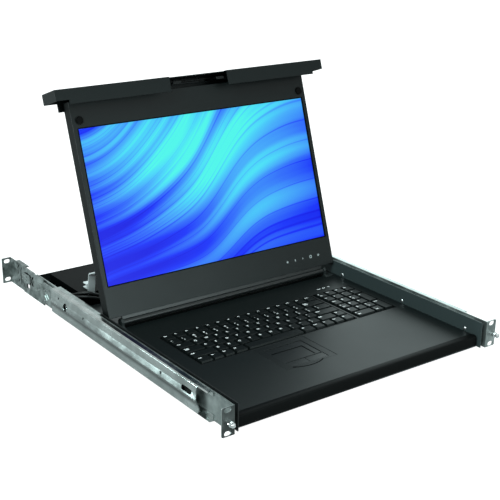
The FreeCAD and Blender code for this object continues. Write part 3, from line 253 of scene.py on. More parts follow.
# %% [markdown]
# ## The lamps
# Area lamps give long soft highlights, as the tubes of a server room do, where a sun or a spot would
# give hard ones. The key lamp stands high at the left. The back lamp stands behind at the right and
# puts a sheen on the top faces, and the front lamp fills the faces that look forward. The side lamp
# is small and nearly level with the rails, because the ridge of the left rail mirrors it from there
# as one bright line.

# %% Lamps
LAMP_TINT = (0.80, 1.0, 1.0)


def area_lamp(name, place, target, size, power):
    """A rectangular lamp at a place, turned towards a target, with its power in watts."""
    data = bpy.data.lights.new(name, "AREA")
    data.shape = "RECTANGLE"
    data.size, data.size_y = size
    data.energy = power
    data.color = LAMP_TINT
    lamp = bpy.data.objects.new(name, data)
    lamp.location = place
    lamp.rotation_euler = (Vector(target) - Vector(place)).to_track_quat("-Z", "Y").to_euler()
    bpy.context.scene.collection.objects.link(lamp)


area_lamp("key_lamp", (-1.6, -0.6, 2.2), (0, 0.2, 0.1), (1.2, 1.2), 52)
area_lamp("back_lamp", (2.9, 2.6, 1.7), (0.1, 0.1, 0.0), (3.4, 2.6), 32)
area_lamp("front_lamp", (0.95, -2.7, 0.55), (-0.1, 0.33, 0.1), (1.3, 1.0), 26)
area_lamp("side_lamp", (-1.66, 1.49, 0.055), (-0.23, 0.12, 0.0), (0.18, 0.1), 6.5)
print("lamps", [lamp.name for lamp in bpy.data.lights])

# %% [markdown]
# ## A shared effect: fine grain
# Powder coat and moulded plastic both have a pebbled surface, and hands leave some of it glossier
# than the rest. Each finish could hold its own noise nodes. A node group holds them once, and every
# finish sets its own colour, roughness and grain.


# %% Fine grain
def group_tree(name, inputs, outputs):
    """An empty node group with its named sockets, and its two end nodes."""
    tree = bpy.data.node_groups.new(name, "ShaderNodeTree")
    for label, kind, value in inputs:
        socket = tree.interface.new_socket(label, in_out="INPUT", socket_type=kind)
        socket.default_value = value
    for label, kind in outputs:
        tree.interface.new_socket(label, in_out="OUTPUT", socket_type=kind)
    return tree, tree.nodes.new("NodeGroupInput"), tree.nodes.new("NodeGroupOutput")


SURFACE_SOCKETS = [("Color", "NodeSocketColor"), ("Roughness", "NodeSocketFloat"),
                   ("Normal", "NodeSocketVector")]
DRIFT_TINT = rgb(0.8, 0.84, 0.85)


def build_fine_grain():
    """Pebbled height, and a slow drift of colour and gloss."""
    tree, given, result = group_tree(
        "fine_grain",
        [("Color", "NodeSocketColor", rgb(0.02, 0.02, 0.02)), ("Roughness", "NodeSocketFloat", 0.4),
         ("Grain Size", "NodeSocketFloat", 1400.0), ("Grain Height", "NodeSocketFloat", 0.1),
         ("Handling", "NodeSocketFloat", 0.08)],
        SURFACE_SOCKETS)
    place = add(tree, "ShaderNodeTexCoord")
    grain = add(tree, "ShaderNodeTexNoise", {"Detail": 2.0, "Roughness": 0.6})
    drift = add(tree, "ShaderNodeTexNoise", {"Scale": 9.0, "Detail": 4.0, "Roughness": 0.6})
    bump = add(tree, "ShaderNodeBump", {"Distance": 0.0002})
    spread = add(tree, "ShaderNodeMath", {1: 0.5}, operation="SUBTRACT")
    amount = add(tree, "ShaderNodeMath", operation="MULTIPLY")
    total = add(tree, "ShaderNodeMath", operation="ADD", use_clamp=True)
    tint = add(tree, "ShaderNodeMix", data_type="RGBA", blend_type="MULTIPLY")
    tint.inputs[MIX_B].default_value = DRIFT_TINT
    links = tree.links
    links.new(place.outputs["Object"], grain.inputs["Vector"])
    links.new(place.outputs["Object"], drift.inputs["Vector"])
    links.new(given.outputs["Grain Size"], grain.inputs["Scale"])
    links.new(grain.outputs["Fac"], bump.inputs["Height"])
    links.new(given.outputs["Grain Height"], bump.inputs["Strength"])
    links.new(drift.outputs["Fac"], spread.inputs[0])
    links.new(spread.outputs[0], amount.inputs[0])
    links.new(given.outputs["Handling"], amount.inputs[1])
    links.new(amount.outputs[0], total.inputs[0])
    links.new(given.outputs["Roughness"], total.inputs[1])
    links.new(drift.outputs["Fac"], tint.inputs[MIX_FACTOR])
    links.new(given.outputs["Color"], tint.inputs[MIX_A])
    links.new(tint.outputs[MIX_RESULT], result.inputs["Color"])
    links.new(total.outputs[0], result.inputs["Roughness"])
    links.new(bump.outputs["Normal"], result.inputs["Normal"])
    return tree


FINE_GRAIN = build_fine_grain()
print("group", FINE_GRAIN.name)

# %% [markdown]
# ## A shared effect: rolled sheet
# Zinc grows in cloudy patches, and the rolling mill leaves faint lines along the strip. A picture of
# plated steel would repeat along so long a rail. Noise doesn't, and noise that is stretched along Y
# gives the rolling lines.

# %% Rolled sheet
ALONG_THE_STRIP = (900.0, 14.0, 900.0)


def build_rolled_sheet():
    """Cloudy zinc, from a light to a dark colour, with rolling lines along Y."""
    tree, given, result = group_tree(
        "rolled_sheet",
        [("Light", "NodeSocketColor", rgb(0.7, 0.73, 0.72)),
         ("Dark", "NodeSocketColor", rgb(0.5, 0.54, 0.53)),
         ("Roughness", "NodeSocketFloat", 0.34), ("Cloud Size", "NodeSocketFloat", 16.0),
         ("Line Height", "NodeSocketFloat", 0.05)],
        SURFACE_SOCKETS)
    place = add(tree, "ShaderNodeTexCoord")
    stretch = add(tree, "ShaderNodeMapping", {"Scale": ALONG_THE_STRIP})
    cloud = add(tree, "ShaderNodeTexNoise", {"Detail": 5.0, "Roughness": 0.62})
    lines = add(tree, "ShaderNodeTexNoise", {"Scale": 1.0, "Detail": 3.0})
    tint = add(tree, "ShaderNodeMix", data_type="RGBA")
    steep = add(tree, "ShaderNodeMapRange", {"From Min": 0.35, "From Max": 0.65})
    gloss = add(tree, "ShaderNodeMapRange", {"To Min": -0.07, "To Max": 0.09})
    total = add(tree, "ShaderNodeMath", operation="ADD", use_clamp=True)
    bump = add(tree, "ShaderNodeBump", {"Distance": 0.0001})
    links = tree.links
    links.new(place.outputs["Object"], cloud.inputs["Vector"])
    links.new(place.outputs["Object"], stretch.inputs["Vector"])
    links.new(stretch.outputs["Vector"], lines.inputs["Vector"])
    links.new(given.outputs["Cloud Size"], cloud.inputs["Scale"])
    links.new(cloud.outputs["Fac"], steep.inputs["Value"])
    links.new(steep.outputs["Result"], tint.inputs[MIX_FACTOR])
    links.new(given.outputs["Dark"], tint.inputs[MIX_A])
    links.new(given.outputs["Light"], tint.inputs[MIX_B])
    links.new(steep.outputs["Result"], gloss.inputs["Value"])
    links.new(gloss.outputs["Result"], total.inputs[0])
    links.new(given.outputs["Roughness"], total.inputs[1])
    links.new(lines.outputs["Fac"], bump.inputs["Height"])
    links.new(given.outputs["Line Height"], bump.inputs["Strength"])
    links.new(tint.outputs[MIX_RESULT], result.inputs["Color"])
    links.new(total.outputs[0], result.inputs["Roughness"])
    links.new(bump.outputs["Normal"], result.inputs["Normal"])
    return tree


ROLLED_SHEET = build_rolled_sheet()
print("group", ROLLED_SHEET.name)

# %% [markdown]
# ## From an effect to a finish
# A coat and a plating are the same tree with another group in it, so one function builds both, and two short
# ones give it their own values. A third paints shade and light into a finish along an axis: painted shade on
# the folds of a rail, on the latch strip where the hand notch shows it and on the front of the left ear, and
# painted light on the right wall of the pan. Masks painted by hand would have to be painted again whenever a
# size changes.


# %% Finish makers
def finish_material(name, group, values, **shader_values):
    """A material whose colour, roughness and normal come from one shared group."""
    material = bpy.data.materials.new(name)
    tree = new_tree(material)
    effect = add(tree, "ShaderNodeGroup", node_tree=group)
    for key, value in values.items():
        effect.inputs[key].default_value = value
    shader = add(tree, "ShaderNodeBsdfPrincipled")
    for key, value in shader_values.items():
        shader.inputs[key.replace("_", " ")].default_value = value
    out = add(tree, "ShaderNodeOutputMaterial")
    tree.links.new(effect.outputs["Color"], shader.inputs["Base Color"])
    tree.links.new(effect.outputs["Roughness"], shader.inputs["Roughness"])
    tree.links.new(effect.outputs["Normal"], shader.inputs["Normal"])
    tree.links.new(shader.outputs[0], out.inputs[0])
    return material


def coated(name, color, roughness, specular=0.5, grain=1400.0, height=0.1):
    """Powder coat or moulded plastic."""
    return finish_material(name, FINE_GRAIN, {
        "Color": rgb(*color), "Roughness": roughness, "Grain Size": grain, "Grain Height": height},
        Specular_IOR_Level=specular)


def plated(name, light, dark, roughness, cloud, line=0.05, metallic=1.0):
    """Zinc or bare steel sheet."""
    return finish_material(name, ROLLED_SHEET, {
        "Light": rgb(*light), "Dark": rgb(*dark), "Roughness": roughness,
        "Cloud Size": cloud, "Line Height": line}, Metallic=metallic)


# painted shade and light: multiplies a finish's colour by a ramp of shades along one axis
def paint_shade_and_light(material, stops, axis="Z", origin=0.0):
    """Paints shade and light into a finish along an axis, by stops of a place in mm from the origin and a
    shade.
    """
    low, high = origin + stops[0][0] * MM, origin + stops[-1][0] * MM
    tree = material.node_tree
    shader = next(node for node in tree.nodes if node.type == "BSDF_PRINCIPLED")
    source = shader.inputs["Base Color"].links[0].from_socket
    place = add(tree, "ShaderNodeTexCoord")
    split = add(tree, "ShaderNodeSeparateXYZ")
    height = add(tree, "ShaderNodeMapRange", {"From Min": low, "From Max": high})
    ramp = add(tree, "ShaderNodeValToRGB")
    fill_ramp(ramp, [((origin + at * MM - low) / (high - low), (value,) * 3) for at, value in stops])
    shade = add(tree, "ShaderNodeMix", {MIX_FACTOR: 1.0}, data_type="RGBA", blend_type="MULTIPLY")
    tree.links.new(place.outputs["Object"], split.inputs[0])
    tree.links.new(split.outputs[axis], height.inputs["Value"])
    tree.links.new(height.outputs["Result"], ramp.inputs["Fac"])
    tree.links.new(source, shade.inputs[MIX_A])
    tree.links.new(ramp.outputs["Color"], shade.inputs[MIX_B])
    tree.links.new(shade.outputs[MIX_RESULT], shader.inputs["Base Color"])
    return material


print("makers: coated, plated, banded")

# %% [markdown]
# ## The finishes of the slots
# Every piece has a slot, such as deck_black, that says what it is made of. The fixed rails are zinc
# plated, so they are pale, slightly green and cloudy. The drawer is powder coated in satin black, and
# the lid and the keys are moulded plastic. No black is plain black: each leans a little to blue-green,
# and its specular level says how much of the room it gives back.

# %% Slot finishes
MATERIALS = {
    "bracket_steel": plated("zinc_plate", (0.44, 0.48, 0.47), (0.19, 0.22, 0.215), 0.36, 30.0, metallic=0.8),
    "slide_steel": plated("zinc_slide", (0.60, 0.64, 0.63), (0.36, 0.40, 0.39), 0.2, 22.0),
    "bright_steel": plated("bright_steel", (0.85, 0.87, 0.87), (0.68, 0.71, 0.71), 0.2, 60.0),
    "latch_steel": plated("latch_steel", (0.60, 0.63, 0.63), (0.40, 0.44, 0.44), 0.3, 40.0),
    "black_steel": coated("powder_coat", (0.012, 0.017, 0.017), 0.55, 0.45, height=0.16),
    "deck_black": coated("satin_coat", (0.0036, 0.0062, 0.0062), 0.42, 0.3),
    "barrel_black": coated("barrel_black", (0.007, 0.009, 0.009), 0.32, 0.45),
    "black_plastic": coated("moulded_black", (0.0048, 0.0078, 0.0078), 0.36, 0.2, height=0.12),
    "frame_black": coated("frame_black", (0.004, 0.006, 0.006), 0.4, 0.26),
    "key_black": coated("key_black", (0.0035, 0.0055, 0.0055), 0.42, 0.19, grain=2600.0),
    "touch_black": coated("touch_black", (0.004, 0.006, 0.006), 0.36, 0.34),
    "surround_black": coated("surround_black", (0.004, 0.0064, 0.0064), 0.35, 0.235, height=0.12),
    "rubber": coated("rubber_black", (0.008, 0.009, 0.009), 0.5, 0.4, height=0.2),
    "white_plastic": coated("white_plastic", (0.75, 0.78, 0.78), 0.45, height=0.05),
}
INK = coated("legend_ink", (0.95, 0.96, 0.96), 0.5, grain=3000.0, height=0.02)
SIGN_INK = coated("sign_ink", (0.42, 0.46, 0.46), 0.5, grain=3000.0, height=0.02)
# painted shade: a near-black film laid in gaps, grooves and recesses for the shadow inside them
PAINTED_SHADE = coated("painted_shade_black", (0.0012, 0.0016, 0.0016), 0.6, 0.04, height=0.05)
print("slots", sorted(MATERIALS))

# %% [markdown]
# ## Pieces with painted shade and light
# Some pieces of a slot look different from the others. The strip of the latch and the release handle are
# painted near black where the hand notch shows them, as painted shade of the notch. The front face of the
# left ear is painted darker, as painted shade. The fold of a cabinet rail carries painted shade on its
# downward slope and a little painted light above it, and the walls of the pan have painted light on the
# right and painted shade on the left. A slot for each would say that they are made of something else, so
# they keep their slot and only their material differs.

# %% Painted shade and light
# painted shade: the middle of the latch strip, which the hand notch shows, is darkened nearly to black for
# the notch's shadow
LATCH_NOTCH_SHADE = [(-245, 1.0), (-125, 1.0), (-118, 0.03), (118, 0.03), (125, 1.0), (245, 1.0)]
# painted shade: the front face of the left ear is darkened to 0.3 of its zinc
EAR_SHADE_BANDS = [(-1, 0.3), (0.2, 0.3), (0.5, 1.0), (20, 1.0)]
# painted light and shade: the pan's coat is lighter than the black steel, as painted light on the right
# wall, and darkened to 0.12 of it on the left
PAN_LIGHT_AND_SHADE = [(-220, 0.12), (-60, 0.12), (60, 1.0), (220, 1.0)]
# painted shade and light: the rail's zinc is darker on the downward slope of its fold and a little lighter
# on the faces above
RAIL_LIGHT_AND_SHADE = [(-20, 0.9), (-16.5, 1.0), (-14, 0.95), (-10, 0.98), (-8, 0.76), (-6, 0.42), (-4.2, 0.36),
              (-2, 0.55), (0, 0.62), (3, 0.72), (5, 0.8), (7, 1.03), (20, 1.03)]
EAR_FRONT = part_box("front_bracket_left")[0][1]

rail_shade_finish = paint_shade_and_light(plated("zinc_rail_shade_and_light", (0.62, 0.66, 0.65), (0.38, 0.42, 0.41), 0.2, 22.0), RAIL_LIGHT_AND_SHADE)
rear_finish = plated("zinc_rear", (0.40, 0.44, 0.43), (0.11, 0.13, 0.125), 0.34, 60.0, line=0.1,
                     metallic=0.85)
FINISH_OF = {
    "cabinet_rail_left": rail_shade_finish,
    "cabinet_rail_right": rail_shade_finish,
    "rear_bracket_left": rear_finish,
    "rear_bracket_right": rear_finish,
    "latch_strip": paint_shade_and_light(
        plated("latch_zinc_notch_shade", (0.60, 0.63, 0.63), (0.40, 0.44, 0.44), 0.3, 40.0, metallic=0.9),
        LATCH_NOTCH_SHADE, "X"),
    "front_bracket_left": paint_shade_and_light(
        plated("zinc_ear_painted_shade", (0.44, 0.48, 0.47), (0.19, 0.22, 0.215), 0.36, 30.0, metallic=0.8),
        EAR_SHADE_BANDS, "Y", EAR_FRONT),
    "tray_pan": paint_shade_and_light(coated("pan_black_light_and_shade", (0.040, 0.056, 0.057), 0.55, 0.45, height=0.16), PAN_LIGHT_AND_SHADE, "X"),
    "control_box": coated("box_black", (0.0016, 0.0022, 0.0022), 0.5, 0.05),
    "lid_bumpers": coated("bumper_black", (0.0006, 0.0008, 0.0008), 0.3, 0.08, height=0.05),
    # painted shade: the release handle in the notch is darkened as part of the notch's shadow
    "release_handle": coated("handle_notch_shade", (0.003, 0.004, 0.004), 0.35, 0.2),
    "front_trim": coated("trim_black", (0.002, 0.0026, 0.0026), 0.5, 0.07),
    "lid_cover": coated("cover_black", (0.003, 0.0042, 0.0042), 0.42, 0.12, height=0.12),
}
print("own shades", sorted(FINISH_OF))

# %% [markdown]
# ## The lit screen
# The screen is the only colour on the drawer. A picture file would tie the lesson to that file, so
# a few nodes draw soft ribbons instead. One number, the flow, says how far a spot lies across the
# ribbons. Random bands are read along the flow alone, so that they bend together. A glow around one
# point then sets how cyan or how blue a spot is. What the screen throws on the black coat near it is
# far weaker than what it shows, or the lid would turn blue.

# %% Screen
SCREEN_LEVEL, SCREEN_SPILL = 0.95, 0.03
BEND_ACROSS, BEND_SHARPNESS = 0.03, 11.0
BEND_RISE, RIBBON_SLOPE = 0.062, 0.12
FAN_SPAN, FAN_LEFT, FAN_GROWTH = 0.2, 0.75, 1.2
WAVER = 0.03
# each kind of ribbon: its scale along the flow, where its noise starts, and how strongly it shows
WIDE_SCALE, WIDE_START, WIDE_STRENGTH = 34.0, 3.1, 0.95
NARROW_SCALE, NARROW_START, NARROW_STRENGTH = 120.0, 7.7, 0.22
HAIR_SCALE, HAIR_START, HAIR_STRENGTH, HAIR_WIDTH = 60.0, 15.2, 0.16, 0.035
GLOW_ACROSS, GLOW_UP, GLOW_STEEPNESS, GLOW_REACH = 0.015, 0.055, 5.6, 1.2
GLOW_BRIGHT, GLOW_DIM = 0.98, 0.14
SCREEN_COLORS = ((0.0, (0.0, 0.004, 0.82)), (0.22, (0.004, 0.03, 1.0)), (0.45, (0.03, 0.17, 1.0)),
                 (0.68, (0.06, 0.44, 1.0)), (0.86, (0.07, 0.74, 0.98)), (1.0, (0.08, 0.96, 0.86)))


def screen_picture():
    """A made-up picture of wide soft ribbons that fan out over a cyan glow."""
    material = bpy.data.materials.new("screen")
    tree = new_tree(material)
    links = tree.links

    def maths(operation, *values):
        """A Math node on numbers or other nodes' outputs."""
        node = add(tree, "ShaderNodeMath", operation=operation)
        for socket, value in zip(node.inputs, values):
            if isinstance(value, (int, float)):
                socket.default_value = value
            else:
                links.new(value, socket)
        return node.outputs[0]

    def ranged(value, low, high, to_low, to_high):
        """A value eased from one range into another."""
        node = add(tree, "ShaderNodeMapRange", {"From Min": low, "From Max": high, "To Min": to_low,
                                                "To Max": to_high}, interpolation_type="SMOOTHSTEP")
        links.new(value, node.inputs["Value"])
        return node.outputs["Result"]

    def bands(value, scale, offset, detail=0.0):
        """Random soft bands along one flow coordinate."""
        node = add(tree, "ShaderNodeTexNoise", {"Scale": 1.0, "Detail": detail}, noise_dimensions="1D")
        links.new(maths("MULTIPLY_ADD", value, scale, offset), node.inputs["W"])
        return node.outputs["Fac"]

    place = add(tree, "ShaderNodeTexCoord")
    centre = add(tree, "ShaderNodeVectorMath", operation="SUBTRACT")
    low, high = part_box("display")
    centre.inputs[1].default_value = (Vector(low) + Vector(high)) / 2
    turn = add(tree, "ShaderNodeMapping", {"Rotation": (LEAN, 0, 0)}, vector_type="POINT")
    links.new(place.outputs["Object"], centre.inputs[0])
    links.new(centre.outputs[0], turn.inputs["Vector"])
    split = add(tree, "ShaderNodeSeparateXYZ")
    links.new(turn.outputs["Vector"], split.inputs[0])
    across, up = split.outputs["X"], split.outputs["Z"]
    # the ribbons follow an S over the width, and lie closer together at the left
    swing = maths("TANH", maths("MULTIPLY", maths("ADD", across, -BEND_ACROSS), BEND_SHARPNESS))
    lift = maths("MULTIPLY_ADD", swing, BEND_RISE, maths("MULTIPLY", across, RIBBON_SLOPE))
    spread = maths("MULTIPLY_ADD", ranged(across, -FAN_SPAN, FAN_SPAN, 0.0, 1.0), FAN_GROWTH, FAN_LEFT)
    flow = maths("DIVIDE", maths("SUBTRACT", up, lift), spread)
    waver = add(tree, "ShaderNodeTexNoise", {"Scale": 5.0, "Detail": 1.0, "Roughness": 0.3},
                noise_dimensions="2D")
    links.new(turn.outputs["Vector"], waver.inputs["Vector"])
    flow = maths("MULTIPLY_ADD", waver.outputs["Fac"], WAVER, flow)
    wide = bands(flow, WIDE_SCALE, WIDE_START)
    narrow = bands(flow, NARROW_SCALE, NARROW_START, 1.0)
    hair = maths("ABSOLUTE", maths("SUBTRACT", bands(flow, HAIR_SCALE, HAIR_START), 0.5))
    hair = ranged(hair, 0.0, HAIR_WIDTH, 1.0, 0.0)
    # cyan glow a little above the middle, deep blue towards the lower corners and the left edge
    side = maths("MULTIPLY", maths("ADD", across, -GLOW_ACROSS), ranged(up, -0.06, 0.12, 4.4, 2.3))
    level = maths("MULTIPLY", maths("ADD", up, -GLOW_UP), GLOW_STEEPNESS)
    far = maths("SQRT", maths("ADD", maths("MULTIPLY", side, side), maths("MULTIPLY", level, level)))
    glow = ranged(far, 0.0, GLOW_REACH, GLOW_BRIGHT, GLOW_DIM)
    shade = maths("MULTIPLY_ADD", maths("ADD", wide, -0.5), WIDE_STRENGTH, glow)
    shade = maths("MULTIPLY_ADD", maths("ADD", narrow, -0.5), NARROW_STRENGTH, shade)
    shade = maths("MULTIPLY_ADD", hair, -HAIR_STRENGTH, shade)
    ramp = add(tree, "ShaderNodeValToRGB")
    fill_ramp(ramp, SCREEN_COLORS)
    links.new(shade, ramp.inputs["Fac"])
    path = add(tree, "ShaderNodeLightPath")
    shader = add(tree, "ShaderNodeBsdfPrincipled", {
        "Base Color": rgb(0.004, 0.004, 0.005), "Roughness": 0.3, "Specular IOR Level": 0.1})
    links.new(ranged(path.outputs["Is Camera Ray"], 0.0, 1.0, SCREEN_SPILL, SCREEN_LEVEL),
              shader.inputs["Emission Strength"])
    links.new(ramp.outputs["Color"], shader.inputs["Emission Color"])
    out = add(tree, "ShaderNodeOutputMaterial")
    links.new(shader.outputs[0], out.inputs[0])
    return material


MATERIALS["screen"] = screen_picture()
print("screen nodes", len(MATERIALS["screen"].node_tree.nodes))

# %% [markdown]
# ## Rounded copies of the solid pieces
# A solid model has knife edges, and a knife edge never catches the light. Each visible piece is
# copied, its triangles are joined back into whole faces, and a narrow bevel rounds its edges. Edges
# rounded in the solid itself would cost many more faces. Weighted normals keep the wide flat faces
# flat in the light, so that the bevel alone bends it. The copy then stands for the solid, which
# stays behind it for collision.

# %% Dressing helpers
WELD = 1e-6
FLAT_ANGLE = math.radians(1)
BEVEL_ANGLE = math.radians(28)
BEVEL_SEGMENTS = 2


def welded(node):
    """A CAD node's mesh under construction, with its doubles merged."""
    mesh = bmesh.new()
    mesh.from_mesh(frame["nodes"][node].data)
    bmesh.ops.remove_doubles(mesh, verts=mesh.verts, dist=WELD)
    return mesh


def new_piece(name, mesh):
    """An object from a mesh under construction, which is used up."""
    data = bpy.data.meshes.new(name)
    mesh.to_mesh(data)
    mesh.free()
    piece = bpy.data.objects.new(name, data)
    bpy.context.scene.collection.objects.link(piece)
    return piece


def set_shading(piece, smooth):
    """Smooth or flat shading on every face."""
    for polygon in piece.data.polygons:
        polygon.use_smooth = smooth


def settle(piece, body, slot, finish=None):
    """Gives a finished piece its material, from its finish or else from its slot, and its body."""
    piece.data.materials.append(finish or MATERIALS[slot])
    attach(piece, body)


def dress(node, width):
    """A copy of a CAD node with its edges rounded, standing for the node."""
    mesh = welded(node)
    bmesh.ops.dissolve_limit(mesh, angle_limit=FLAT_ANGLE, verts=mesh.verts, edges=mesh.edges)
    piece = new_piece(f"{node}_dressed", mesh)
    set_shading(piece, True)
    bevel = piece.modifiers.new("round", "BEVEL")
    bevel.width = width
    bevel.segments = BEVEL_SEGMENTS
    bevel.limit_method = "ANGLE"
    bevel.angle_limit = BEVEL_ANGLE
    even = piece.modifiers.new("flat_faces_stay_flat", "WEIGHTED_NORMAL")
    even.mode = "FACE_AREA"
    even.weight = 100
    settle(piece, BODY_OF[node], SLOT_OF[node], FINISH_OF.get(node))
    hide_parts(node)


print("bevel segments", BEVEL_SEGMENTS)

# %% [markdown]
# ## Which edges are round
# Folded sheet has a small radius, moulded plastic a larger one. The table gives each piece its
# radius in mm. The pieces that aren't in it, such as balls, pins and rivets, are round already, very
# small, or lie inside. The latch guides stay sharp too, because the latch strip runs close to them.

# %% Dressed pieces
KEY_RADIUS = 0.3
BEVELS = {
    "front_bracket_left": 0.35, "front_bracket_right": 0.35, "rear_bracket_left": 0.35,
    "rear_bracket_right": 0.35, "cabinet_rail_left": 0.35, "cabinet_rail_right": 0.35,
    "middle_rail_left": 0.3, "middle_rail_right": 0.3, "drawer_rail_left": 0.3, "drawer_rail_right": 0.3,
    "tray_pan": 0.35, "deck": 0.4, "front_trim": 0.5, "keyboard_base": 0.4, "touchpad_frame": 0.4,
    "touch_surface": 0.25, "touchpad_button_left": 0.4, "touchpad_button_right": 0.4,
    "hinge_bracket_left": 0.3, "hinge_bracket_right": 0.3, "control_box": 0.3, "cable_clip": 0.3,
    "lid_cover": 0.6, "screen_surround": 0.5, "front_bar": 0.5, "latch_strip": 0.25, "release_handle": 0.5,
    "lid_bumpers": 0.4,
}
KEY_NODES = [node for node in frame["nodes"] if "key" in node and node != "keyboard_base"] + ["space_bar"]
BEVELS.update({node: KEY_RADIUS for node in KEY_NODES})
for node, width in BEVELS.items():
    dress(node, width * MM)
for node, piece in frame["nodes"].items():
    if node not in BEVELS:
        piece.data.materials.clear()
        piece.data.materials.append(MATERIALS[SLOT_OF[node]])
print("dressed", len(BEVELS), "of", len(frame["nodes"]))

# %% [markdown]
# ## What is printed on the keys
# Each key node of the solid model holds the caps of one row, and the lists give their legends from
# left to right. A bar parts the upper mark of a cap from the lower one. Text objects draw them with
# Blender's own font. A picture of the letters would blur near the lens.

# %% Legend table
INK_THICK = 0.03 * MM
LETTER, WORD, PAIR = 5.3 * MM, 3.4 * MM, 4.2 * MM
BOLD = {LETTER: 0.22 * MM, WORD: 0.15 * MM, PAIR: 0.17 * MM}
INK_WELD = 1e-7
LINE_SPACING = 0.85
CURVE_STEPS = 2
LEGENDS = {
    "key_row_6": ["F1", "F2", "F3", "F4", "F5", "F6", "F7", "F8", "F9", "F10", "F11", "F12", "Prt", "Brk"],
    "key_row_5": ["~|`", "!|1", "@|2", "#|3", "$|4", "%|5", "^|6", "&|7", "*|8", "(|9", ")|0", "_|-", "+|="],
    "key_row_4": list("QWERTYUIOP") + ["{|[", "}|]", "/|\\"],
    "key_row_3": list("ASDFGHJKL") + [":|;", "\"|'"],
    "key_row_2": list("ZXCVBNM") + ["<|,", ">|.", "?|/", "Up"],
    "key_row_1": ["Ctrl", "Fn", "Sys", "Alt", "Alt", "Ctrl", "Lf", "Dn", "Rt"],
    "number_keys": ["1|End", "4", "7|Hm", "Num", "Ins", "0|Ins", "2", "5", "8", "/", "Hm", ".|Del",
                    "3|Pg", "6", "9|Pg", "*", "Up", "-", "Dn"],
    "escape_key": ["Esc"], "backspace_key": ["Back\nspace"], "tab_key": ["Tab"],
    "caps_lock_key": ["Caps\nLock"], "enter_key": ["Enter"], "left_shift_key": ["Shift"],
    "right_shift_key": ["Shift"], "number_plus_key": ["+"], "number_enter_key": ["Enter"],
}
print("legends", sum(len(labels) for labels in LEGENDS.values()))

# %% [markdown]
# ## Finding the caps
# The script needs the place of every cap, and copied numbers would be wrong after any change of
# size. So it splits a node into its separate solids by walking along the edges from vertex to
# vertex, and takes the box of each.


# %% Separate solids
def solid_boxes(node):
    """The boxes of a node's separate solids, from left to right and then from front to rear."""
    mesh = welded(node)
    left = set(mesh.verts)
    boxes = []
    while left:
        reached, waiting = [], [left.pop()]
        while waiting:
            vertex = waiting.pop()
            reached.append(vertex.co)
            for edge in vertex.link_edges:
                other = edge.other_vert(vertex)
                if other in left:
                    left.remove(other)
                    waiting.append(other)
        boxes.append([tuple(pick(place[i] for place in reached) for i in range(3)) for pick in (min, max)])
    mesh.free()
    return sorted(boxes, key=lambda box: (round(box[0][0], 4), box[0][1]))


print("caps in the first row", len(solid_boxes("key_row_1")))

# %% [markdown]
# ## Ink
# Printed ink lies on its cap as a film. A texture would need a UV map on every key, so the letters
# are thin closed solids. They are turned into meshes and joined into one piece for each body, so
# that the legend of a key goes down with its key.


# %% Ink helpers
def text_object(words, size):
    """Text as a thin closed solid, lying flat with its upper left corner at the origin."""
    data = bpy.data.curves.new("legend", "FONT")
    data.body = words
    data.size = size
    data.offset = BOLD.get(size, 0.0)
    data.extrude = INK_THICK / 2
    data.resolution_u = CURVE_STEPS
    data.space_line = LINE_SPACING
    data.align_x = "LEFT"
    data.align_y = "TOP"
    item = bpy.data.objects.new("legend", data)
    bpy.context.scene.collection.objects.link(item)
    return item


def printed(name, items, body):
    """Joins pairs of a text object and its place into one mesh piece that rides on a body."""
    graph = bpy.context.evaluated_depsgraph_get()
    mesh = bmesh.new()
    for item, place in items:
        data = bpy.data.meshes.new_from_object(item.evaluated_get(graph))
        data.transform(place)
        mesh.from_mesh(data)
        curve = item.data
        bpy.data.objects.remove(item)
        bpy.data.curves.remove(curve)
        bpy.data.meshes.remove(data)
    bmesh.ops.remove_doubles(mesh, verts=mesh.verts, dist=INK_WELD)
    settle(new_piece(name, mesh), body, "white_plastic", INK)


print("ink", INK_THICK / MM, "mm thick")

# %% Legends
INK_FROM_EDGE = Vector((2.2 * MM, -2.0 * MM, INK_THICK / 2))
LOWER_MARK = Vector((0.4 * MM, -6.2 * MM, 0))
legend_items = {}
for node, labels in LEGENDS.items():
    boxes = solid_boxes(node)
    assert len(boxes) == len(labels), (node, len(boxes), len(labels))
    for (low, high), label in zip(boxes, labels):
        corner = Vector((low[0], high[1], high[2])) + INK_FROM_EDGE
        marks = label.split("|")
        for step, mark in enumerate(marks):
            size = WORD if len(mark) > 1 else (PAIR if len(marks) > 1 else LETTER)
            place = Matrix.Translation(corner + LOWER_MARK * step)
            legend_items.setdefault(BODY_OF[node], []).append((text_object(mark, size), place))
for body, items in legend_items.items():
    printed(f"legend_{body}", items, body)

# %% [markdown]
# ## Flat drawings as thin solids
# The rest of the small detail is lines and plates: the gap around the glass, the signs of the menu
# buttons, joint lines and stampings. All are drawn flat, in two numbers, and a matrix lays them on
# their face. A line becomes a strip of one width whose corners are mitred, so that it doesn't thin
# out where it turns. Each is a closed solid, as a real strip or plate is.

# %% Drawing helpers
FACE_MATRIX = LID_MATRIX @ Matrix(((1, 0, 0, 0), (0, 0, 1, 0), (0, 1, 0, 0), (0, 0, 0, 1)))
SHARPEST_MITRE = 0.3


def ring_faces(mesh, rows):
    """Faces between neighbouring rings of vertices, and one on each end."""
    count = len(rows[0])
    for first, second in zip(rows, rows[1:]):
        for i in range(count):
            j = (i + 1) % count
            mesh.faces.new((first[i], first[j], second[j], second[i]))
    mesh.faces.new(rows[0][::-1])
    mesh.faces.new(rows[-1])


